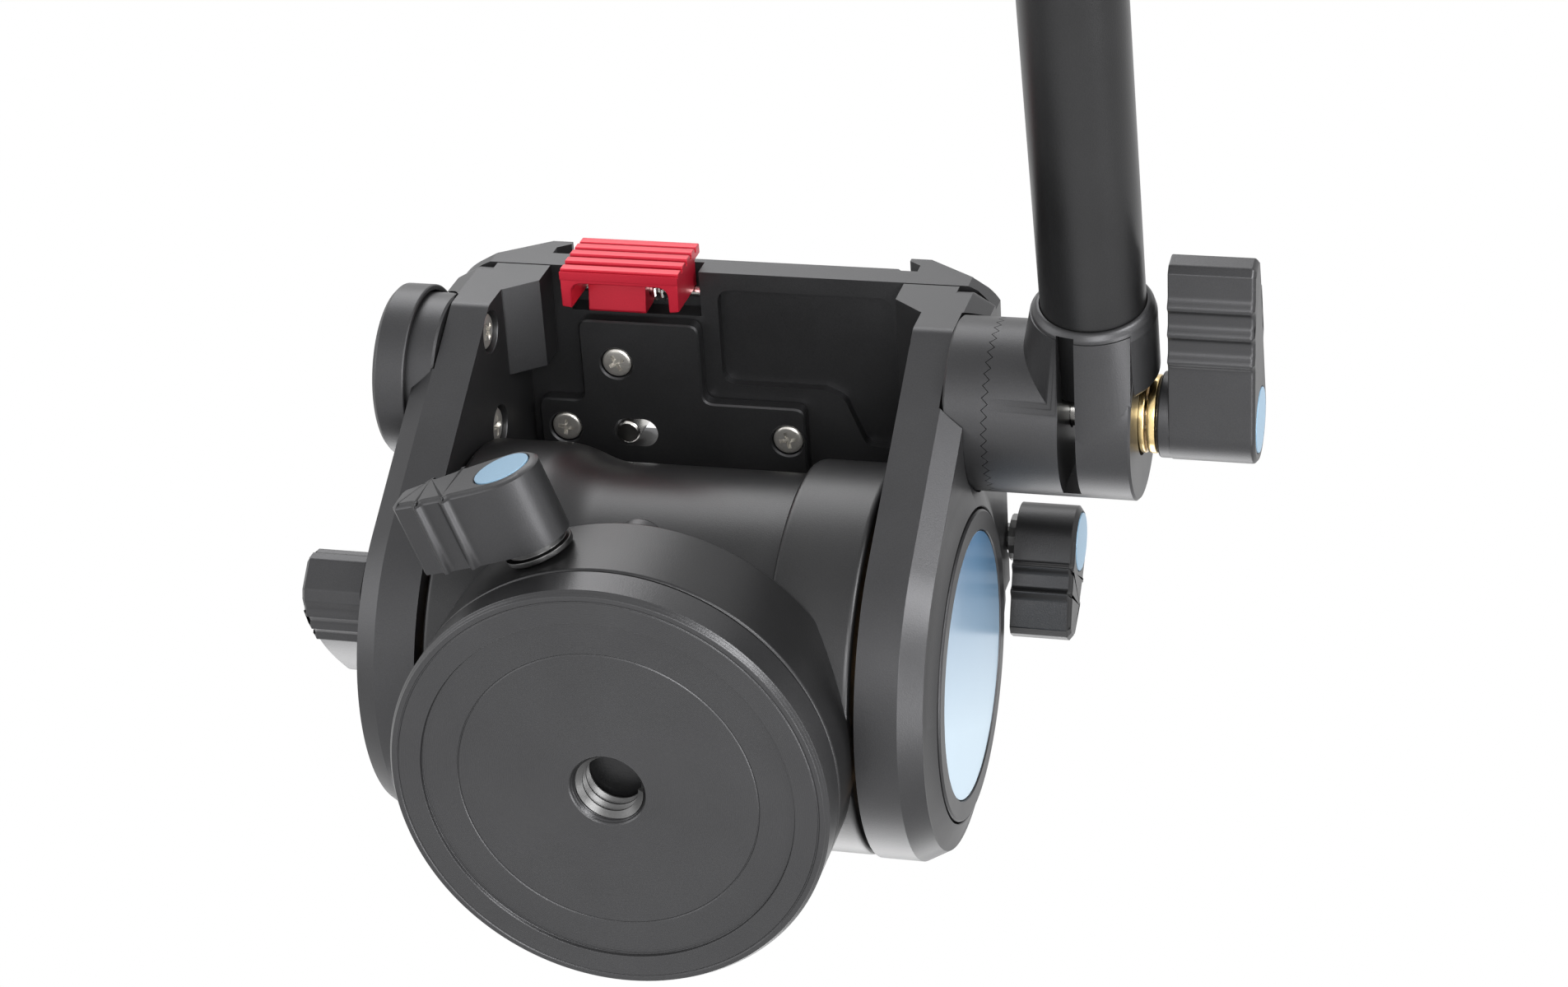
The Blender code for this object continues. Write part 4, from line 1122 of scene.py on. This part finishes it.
@dataclass
class Screws:
    """Cross-recessed screws: three under the cover plate and four in the arms' inner faces."""

    head_radius: float = 2.15
    head_height: float = 1.1
    cover_z: float = 68.45
    arm_x: float = 30.9

    def model(self) -> bpy.types.Object:
        """One screw head with its cross recess and shank, its top at the origin facing +Z.

        Returns:
            The screw.
        """
        r, h = self.head_radius, self.head_height
        dome = [(0.0, 0.0)] + [(r * 0.92 * sin(radians(a)) / sin(radians(55)), -0.16 * (1 - cos(radians(a))) / 0.43)
                               for a in range(11, 56, 11)]
        shank = [(r, -0.34), (r, -h), (1.0, -h), (1.0, -h - 3.6), (0.0, -h - 4.2)]
        head = Bench.turned("screw_model", dome + shank, 56)
        for turn in (0.0, pi / 2):
            arm = Bench.block("cross", (-1.45, -0.33, -0.95), (1.45, 0.33, 0.6))
            for corner in arm.data.vertices:
                if corner.co.z < 0:
                    corner.co.x *= 0.7
                    corner.co.y *= 0.8
            arm.data.transform(Matrix.Rotation(turn, 4, "Z"))
            Bench.boolean(head, arm)
        return head

    def build(self) -> None:
        """Copy the screw to its places."""
        model = self.model()
        down = Matrix.Rotation(pi, 4, "X")
        for i, (x, y, turn) in enumerate(COVER_SCREWS):
            at = Matrix.Translation((x * MM, y * MM, self.cover_z * MM))
            place = at @ down @ Matrix.Rotation(radians(turn), 4, "Z")
            Bench.finish(Bench.copy(model, f"plate_screw_{i + 1}", place), ZINC, "cradle", f"cover_screw_{i + 1}")
        for side, sign in (("right", 1), ("left", -1)):
            for i, y in enumerate(Arms.screw_y):
                face = Matrix.Rotation(-sign * pi / 2, 4, "Y") @ Matrix.Rotation(0.4 + i, 4, "Z")
                grow = Matrix.Diagonal((1.18, 1.18, 1.0, 1.0))
                place = Matrix.Translation((sign * self.arm_x * MM, y * MM, Arms.screw_z * MM)) @ face @ grow
                Bench.finish(Bench.copy(model, f"arm_screw_{side}_{i + 1}", place), ZINC, "cradle",
                             f"hub_screw_{side}_{i + 1}")
        bpy.data.objects.remove(model, do_unlink=True)


@dataclass
class Platform:
    """Top platform with its dovetail channel, underside pocket, cover plate and latch pin."""

    floor_low: float = 70.7
    floor: float = 75.2
    rail_top: float = 78.9
    rail_x: float = 25.2
    seat_x: float = 24.2
    side_x: float = 39.4
    rear: float = -42.8
    front: float = 33.0
    pin: Point = (-15.7, -17.8)
    pin_radius: float = 1.8
    slot_radius: float = 2.2
    slot_length: float = 2.3
    plate_low: float = 68.3

    def section(self) -> list[Point]:
        """Cross section: floor with two undercut rails and sloping shoulders.

        Returns:
            The section as (x, z).
        """
        side, rail, top, floor = self.side_x, self.rail_x, self.rail_top, self.floor
        half = [(36.5, self.floor_low), (side, 68.6), (side, 72.0), (37.6, 73.0), (35.4, 73.6), (28.2, top),
                (rail, top), (rail, top - 0.8), (rail + 1.8, floor + 1.5), (rail + 1.8, floor - 0.5),
                (self.seat_x + 0.4, floor - 0.5), (self.seat_x, floor)]
        return half + [(-x, z) for x, z in reversed(half)]

    def plan(self) -> list[Point]:
        """Outline of the platform from above.

        Returns:
            The outline as (x, y).
        """
        rear, side = self.rear - 0.5, 40.4
        half = fillet([(0, rear), (34.2, rear), (side, rear + 3.0), (side, 4.0), (35.0, 8.4), (35.0, self.front),
                       (0, self.front)], 8.0, parts=10)
        return half + [(-x, y) for x, y in reversed(half[1:-1])]

    def slot(self, grow: float = 0.0) -> list[Point]:
        """Outline of the slot that the latch pin stands in.

        Args:
            grow: what it is wider by on every side.

        Returns:
            The outline as (x, y).
        """
        x, y = self.pin
        r = self.slot_radius + grow
        return (arc(r, 0.5 * pi, 1.5 * pi, 18, (x, y))
                + arc(r, -0.5 * pi, 0.5 * pi, 18, (x + self.slot_length, y)))

    def build(self) -> None:
        """Model the platform and what is fixed to it."""
        body = Bench.slab("platform_top", self.section(), self.rear, self.front, along=Along.Y)
        Bench.boolean(body, Bench.slab("plan", self.plan(), 60, 90, along=Along.Z), "INTERSECT")
        Bench.ease(body, 0.35, segments=3, angle=20)
        for hub_radius, low, high in ((Arms.hub_radius, 36.1, 45), (Arms.left_hub_radius, -45, -36.1)):
            r = hub_radius + 0.25
            Bench.drill(body, [(r, low), (r, high)], **across(HUB_Y, HUB_Z))
        pocket = fillet([(-1.5, -40.2), (24.2, -40.2), (24.2, -16.6), (19.4, -16.6), (16.4, -24.0), (13.4, -25.3),
                         (-1.5, -25.3)], 2.2, parts=6, closed=True)
        Bench.boolean(body, Bench.slab("pocket", pocket, 60, 72.3, along=Along.Z))
        Bench.boolean(body, Bench.block("lever_room", (-23.4, -44, 60), (-4.0, -35.9, 74.1)))
        Bench.drill(body, [(1.05, -26), (1.05, -2)], 32, **across(PIVOT_Y, PIVOT_Z))
        Bench.boolean(body, Bench.slab("pin_slot", self.slot(0.5), 60, 76, along=Along.Z))
        Bench.drill(body, [(2.4, 24), (2.4, 45)], 48, **across(PLATE_STUD_Y, PLATE_STUD_Z))
        Bench.boolean(body, Bench.block("jaw_room", (24.4, -11.5, 71.9), (28.4, 7.1, 78.2)))
        Bench.finish(body, ANODISED, "cradle", "platform")
        self.cover()
        r = self.pin_radius
        pin = Bench.plug("latch_pin_round", [(r - 0.3, 68.0), (r, 68.3), (r, 75.6), (r - 0.4, 76.0)], 56,
                         centre=(*self.pin, 0), rounding=0.2)
        Bench.finish(pin, STEEL, "latch", "latch_pin")

    def cover(self) -> None:
        """The cover plate under the platform."""
        outline = fillet([(-22.0, -35.4), (-4.0, -35.4), (-4.0, -23.1), (11.0, -23.1), (11.0, -7.0), (-29.0, -7.0),
                          (-29.0, -22.5), (-22.0, -22.5)], 1.6, parts=5, closed=True)
        plate = Bench.slab("under_cover", outline, 70.4, self.plate_low + 0.25, along=Along.Z, chamfer=(0.25, 0.25))
        Bench.boolean(plate, Bench.slab("slot", self.slot(), 60, 76, along=Along.Z))
        for x, y, _ in COVER_SCREWS:
            Bench.drill(plate, [(2.6, 60), (2.6, 68.35), (2.35, 68.6), (2.35, 69.55), (1.3, 69.55), (1.3, 72)], 56,
                        centre=(x, y, 0))
        Bench.finish(plate, ANODISED, "cradle", "cover_plate")


@dataclass
class ReleaseLever:
    """Red release lever: ribbed wall behind the platform, two cheeks and a tab on the pivot pin."""

    left: float = -22.3
    right: float = -4.9
    rear: float = -43.9
    top: float = 75.0
    foot: float = 63.2
    rib_pitch: float = 2.36

    def build(self) -> None:
        """Model the lever."""
        rear, y = self.rear, PIVOT_Y
        wall: list[Point] = [(rear, self.top)]
        for i in range(5):
            top = self.top - self.rib_pitch * i
            crest = rear - 1.5 - 0.06 * i * (4 - i)
            wall += fillet([(rear - 0.9, top), (crest, top), (crest, top - 1.75), (rear - 0.9, top - 1.75)], 0.35)
        wall += [(rear - 1.4, self.foot), (rear, self.foot)]
        lever = Bench.slab("ribbed_lever", wall, self.left, self.right)
        Bench.ease(lever, 0.12, segments=2, angle=50)
        left, right = self.left + 0.05, self.right - 0.05
        arch = [(left, rear - 0.4), (right, rear - 0.4), (right, rear + 4.1), (right - 1.5, rear + 4.3)]
        arch += fillet([arch[-1], (right - 1.5, rear + 0.5), (left + 1.5, rear + 0.5), (left + 1.5, rear + 4.3)],
                       1.7, parts=8)[1:]
        arch += [(left, rear + 4.1)]
        part = Bench.slab("arch", arch, 63.3, 72.6, along=Along.Z)
        Bench.ease(part, 0.2, segments=2, angle=35)
        Bench.join(lever, part)
        tab = fillet([(rear - 0.5, 73.0), (rear - 0.5, 70.5), (y - 2.4, 69.4), (y + 2.6, 68.6), (y + 2.5, 72.6),
                      (y + 1.8, 73.4)], 0.4, closed=True)
        part = Bench.slab("tab", tab, -20.2, -11.6)
        Bench.ease(part, 0.2, segments=2, angle=40)
        Bench.join(lever, part)
        Bench.drill(lever, [(0.95, -30), (0.95, 0)], 24, **across(PIVOT_Y, PIVOT_Z))
        Bench.finish(lever, RED, "release", "release_lever")


@dataclass
class BarClamp:
    """Pan bar's toothed clamp with its slot, washers, bolt and wing knob, and the bar itself."""

    radius: float = 12.0
    face: float = 42.28
    outer: float = 62.0
    slot: Point = (52.2, 54.7)
    bar_x: float = 56.0
    bar_radius: float = 7.1
    drop: float = 12.0
    start: float = 6.2
    grip_start: float = 126.0
    grip_radius: float = 12.9
    length: float = 250.0
    bolt_radius: float = 2.3
    mouth_radius: float = 8.5
    knob_x: float = 66.2
    knob_angle: float = 187.0

    def bar_frame(self) -> Matrix:
        """Frame whose Z runs down the bar from the rosette axis.

        Returns:
            The frame as a matrix.
        """
        down = Vector((0, -cos(radians(self.drop)), -sin(radians(self.drop))))
        side = Vector((1, 0, 0))
        turn = Matrix((side, down.cross(side), down)).transposed().to_4x4()
        return Matrix.Translation(Vector((self.bar_x, HUB_Y, HUB_Z)) * MM) @ turn

    def build(self) -> None:
        """Model the clamp, the bar and the knob."""
        place = self.bar_frame()
        hub = across(HUB_Y, HUB_Z)
        r, mouth, bolt = self.bar_radius, self.mouth_radius, self.bolt_radius
        clamp = Rosette.ring("toothed_clamp", self.radius, self.outer, self.face, -1)
        clamp.data.transform(Matrix.Translation((0, HUB_Y * MM, HUB_Z * MM)))
        Bench.drill(clamp, [(bolt + 0.3, 40), (bolt + 0.3, 61.3), (5.8, 61.3), (5.8, 64)], 64, **hub)
        blend = Bench.turned("blend", [(r - 0.6, 2.6), (11.7, 2.6), (mouth, 17.4), (r - 0.6, 17.4)], place=place)
        Bench.boolean(blend, Bench.block("end_face", (self.outer - 0.1, -80, 20), (80, 0, 90)))
        Bench.boolean(clamp, blend, "UNION")
        lip = Bench.turned("mouth", [(r - 0.6, 7.0), (mouth, 7.0), (mouth, 16.6), (mouth - 0.3, 17.8),
                                     (mouth - 0.9, 18.7), (r - 0.6, 18.7)], rounding=0.9, place=place)
        Bench.boolean(clamp, lip, "UNION")
        Bench.drill(clamp, [(r + 0.15, 5.9), (r + 0.15, 24)], place=place)
        Bench.boolean(clamp, Bench.block("slot", (self.slot[0], HUB_Y - 16, HUB_Z - 16),
                                         (self.slot[1], HUB_Y + 8.7, HUB_Z + 16)))
        Bench.finish(clamp, ANODISED, "bar", "bar_clamp")
        end = self.length
        low, high = self.start, end - 9
        tube = Bench.turned("pan_bar_tube", [(r - 1.2, low), (r, low), (r, high), (r - 1.2, high)], rounding=0.3,
                            place=place)
        Bench.finish(tube, SATIN_BLACK, "bar", "bar_tube")
        g, low = self.grip_radius, self.grip_start
        grip = Bench.turned("foam_grip", [(r + 0.05, low), (g, low), (g, end - 8), (r + 0.05, end - 8)],
                            rounding=2.2, place=place)
        Bench.finish(grip, FOAM, "bar", "bar_grip")
        cap = Bench.turned("bar_end_plug", [(0, end - 18), (5.6, end - 18), (5.6, end - 7.7), (11.8, end - 7.7),
                                            (12.0, end - 2.5), (9.4, end - 0.5), (0, end)],
                           rounding=0.9, place=place)
        Bench.finish(cap, ANODISED, "bar", "bar_end_cap")
        for which, x in (("inner", 61.6), ("outer", 63.1)):
            washer = Bench.turned(f"brass_washer_{which}", [(2.6, x), (5.4, x), (5.4, x + 1.2), (2.6, x + 1.2)],
                                  rounding=0.25, **hub)
            Bench.finish(washer, BRASS, "bar", f"clamp_washer_{which}")
        bolt = Bench.plug("clamp_bolt_bright", [(bolt, 34.6), (bolt, 72.4)], 64, rounding=0.2, **hub)
        Bench.finish(bolt, BOLT_STEEL, "bolt", "clamp_bolt")
        knob = ((self.knob_x, HUB_Y, HUB_Z), (1.0, 0.0, 0.0), side_direction(self.knob_angle))
        WingLever("wing_knob", "knob", "clamp_knob", "clamp_inlay", knob, ANODISED, depth=11.6, hub_radius=6.0,
                  reach=24.6, tip=2.3, bend=1.0, bend_below=1.0, ridges=(11.5, 15.4, 19.2), rise=0.75, width=1.5,
                  inlay_radius=4.5, hole_radius=2.6, hole_depth=6.8, edge=0.55, boss=(5.9, -1.6)).build()


class CarriedOver:
    """CAD nodes that stay as they are and only get their finish."""

    LOOKS = {
        "pan_spindle": STEEL, "spindle_screw_1": DARK_STEEL, "spindle_screw_2": DARK_STEEL,
        "spindle_screw_3": DARK_STEEL, "pan_drag_rotor": BRONZE, "thrust_washer": STEEL, "spindle_nut": DARK_STEEL,
        "pan_bush": BRONZE, "tilt_bush_right": BRONZE, "tilt_bush_left": BRONZE, "tilt_drag_cartridge": POLYMER,
        "counterbalance_spring": DARK_STEEL, "pan_lock_shoe": BRASS, "tilt_axle": STEEL, "release_pivot": STEEL,
        "release_spring": STEEL, "tilt_lock_stud": DARK_STEEL, "plate_lock_stud": DARK_STEEL,
        "clamp_jaw": DARK_STEEL,
    }

    @classmethod
    def dress(cls, nodes: dict[str, bpy.types.Object]) -> None:
        """Give each kept node its finish.

        Args:
            nodes: the frame's CAD nodes by name.
        """
        for name, look in cls.LOOKS.items():
            nodes[name].data.materials.clear()
            nodes[name].data.materials.append(look.material())
            LOG.info("%s keeps its CAD shape", name)


# Surroundings and camera.


@dataclass
class Studio:
    """Floor, white surroundings, soft lamps and the camera under and behind the head."""

    floor_height: float = -0.62
    floor_size: float = 12.0
    floor_glow: float = 0.62
    aim: Spot = (0.0, -0.02, 0.04)
    focal: float = 82.8
    place: Spot = (0.1360, -0.2506, -0.3775)
    right: Spot = (0.967, 0.0582, 0.2479)
    down: Spot = (0.0648, 0.8853, -0.4604)
    ahead: Spot = (-0.2463, 0.4613, 0.8524)

    def build(self) -> None:
        """Set up everything around the object."""
        self.floor()
        self.world()
        self.lamps()
        self.camera()

    def floor(self) -> None:
        """A plain pale floor, well under the object, which is held up; from below it can be looked through."""
        Bench.clear()
        bpy.ops.mesh.primitive_plane_add(size=self.floor_size, location=(0, 0, self.floor_height))
        floor = bpy.context.object
        floor.name = "floor"
        material = bpy.data.materials.new("pale_floor")
        material.use_nodes = True
        tree = material.node_tree
        shader = tree.nodes["Principled BSDF"]
        shader.inputs["Base Color"].default_value = (0.82, 0.82, 0.82, 1)
        shader.inputs["Roughness"].default_value = 0.8
        shader.inputs["Emission Color"].default_value = (1, 1, 1, 1)
        glow = tree.nodes.new("ShaderNodeMath")
        glow.operation = "MULTIPLY"
        glow.inputs[1].default_value = self.floor_glow
        tree.links.new(self.seen(tree), glow.inputs[0])
        tree.links.new(glow.outputs[0], shader.inputs["Emission Strength"])
        mix = tree.nodes.new("ShaderNodeMixShader")
        side = tree.nodes.new("ShaderNodeNewGeometry")
        tree.links.new(side.outputs["Backfacing"], mix.inputs["Fac"])
        tree.links.new(shader.outputs["BSDF"], mix.inputs[1])
        tree.links.new(tree.nodes.new("ShaderNodeBsdfTransparent").outputs["BSDF"], mix.inputs[2])
        tree.links.new(mix.outputs["Shader"], tree.nodes["Material Output"].inputs["Surface"])
        floor.data.materials.append(material)

    @staticmethod
    def seen(tree: bpy.types.NodeTree) -> bpy.types.NodeSocket:
        """Signal that tells the rays that are seen from all others.

        Args:
            tree: the node tree that it is added to.

        Returns:
            1 for camera, glossy and transmission rays, else 0.
        """
        paths = tree.nodes.new("ShaderNodeLightPath")
        result = paths.outputs["Is Camera Ray"]
        for name in ("Is Glossy Ray", "Is Transmission Ray"):
            node = tree.nodes.new("ShaderNodeMath")
            node.operation = "MAXIMUM"
            tree.links.new(result, node.inputs[0])
            tree.links.new(paths.outputs[name], node.inputs[1])
            result = node.outputs[0]
        return result

    def world(self) -> None:
        """White to the camera, to gloss and to glass; a milder even light for the rest."""
        world = bpy.data.worlds.new("white_room")
        bpy.context.scene.world = world
        world.use_nodes = True
        tree = world.node_tree
        level = tree.nodes.new("ShaderNodeMapRange")
        level.inputs["To Min"].default_value = 0.3
        level.inputs["To Max"].default_value = 1.0
        tree.links.new(self.seen(tree), level.inputs["Value"])
        background = tree.nodes["Background"]
        background.inputs["Color"].default_value = (1, 1, 1, 1)
        tree.links.new(level.outputs["Result"], background.inputs["Strength"])

    def lamps(self) -> None:
        """Soft boxes round the head."""
        for name, at, size, power in (
                ("box_above_rear", (-0.35, -0.75, 0.75), 0.6, 5.0),
                ("box_left", (-0.95, -0.35, -0.25), 0.7, 4.5),
                ("box_front", (-0.2, 1.0, 0.2), 0.8, 7.0),
                ("box_right_rear", (0.7, -0.65, -0.15), 0.35, 7.0),
                ("box_right_below", (0.8, 0.1, -0.5), 0.4, 5.0),
                ("fill_below", (0.22, -0.3, -0.55), 0.3, 3.0)):
            light = bpy.data.lights.new(name, "AREA")
            light.shape = "SQUARE"
            light.size = size
            light.energy = power
            lamp = bpy.data.objects.new(name, light)
            bpy.context.scene.collection.objects.link(lamp)
            lamp.location = at
            lamp.rotation_euler = (Vector(self.aim) - Vector(at)).to_track_quat("-Z", "Y").to_euler()

    def camera(self) -> None:
        """The camera that the photograph was taken with."""
        data = bpy.data.cameras.new("camera")
        data.sensor_width = 36.0
        data.lens = self.focal
        data.clip_start = 0.01
        camera = bpy.data.objects.new("camera", data)
        bpy.context.scene.collection.objects.link(camera)
        turn = Matrix((self.right, tuple(-c for c in self.down), tuple(-c for c in self.ahead))).transposed()
        camera.matrix_world = Matrix.Translation(self.place) @ turn.to_4x4()
        bpy.context.scene.camera = camera


def main() -> None:
    """Load the frame, build every sub-assembly and the studio, and log each new piece's face count."""
    logging.basicConfig(level=logging.INFO, format="%(name)s: %(message)s")
    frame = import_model()
    bpy.context.scene.view_settings.view_transform = "Standard"
    BaseFlange().build()
    PanHousing().build()
    PanLock().build()
    Arms().build()
    Screws().build()
    Platform().build()
    ReleaseLever().build()
    SideLocks().build()
    BarClamp().build()
    CarriedOver.dress(frame["nodes"])
    Studio().build()


if __name__ == "__main__":
    main()
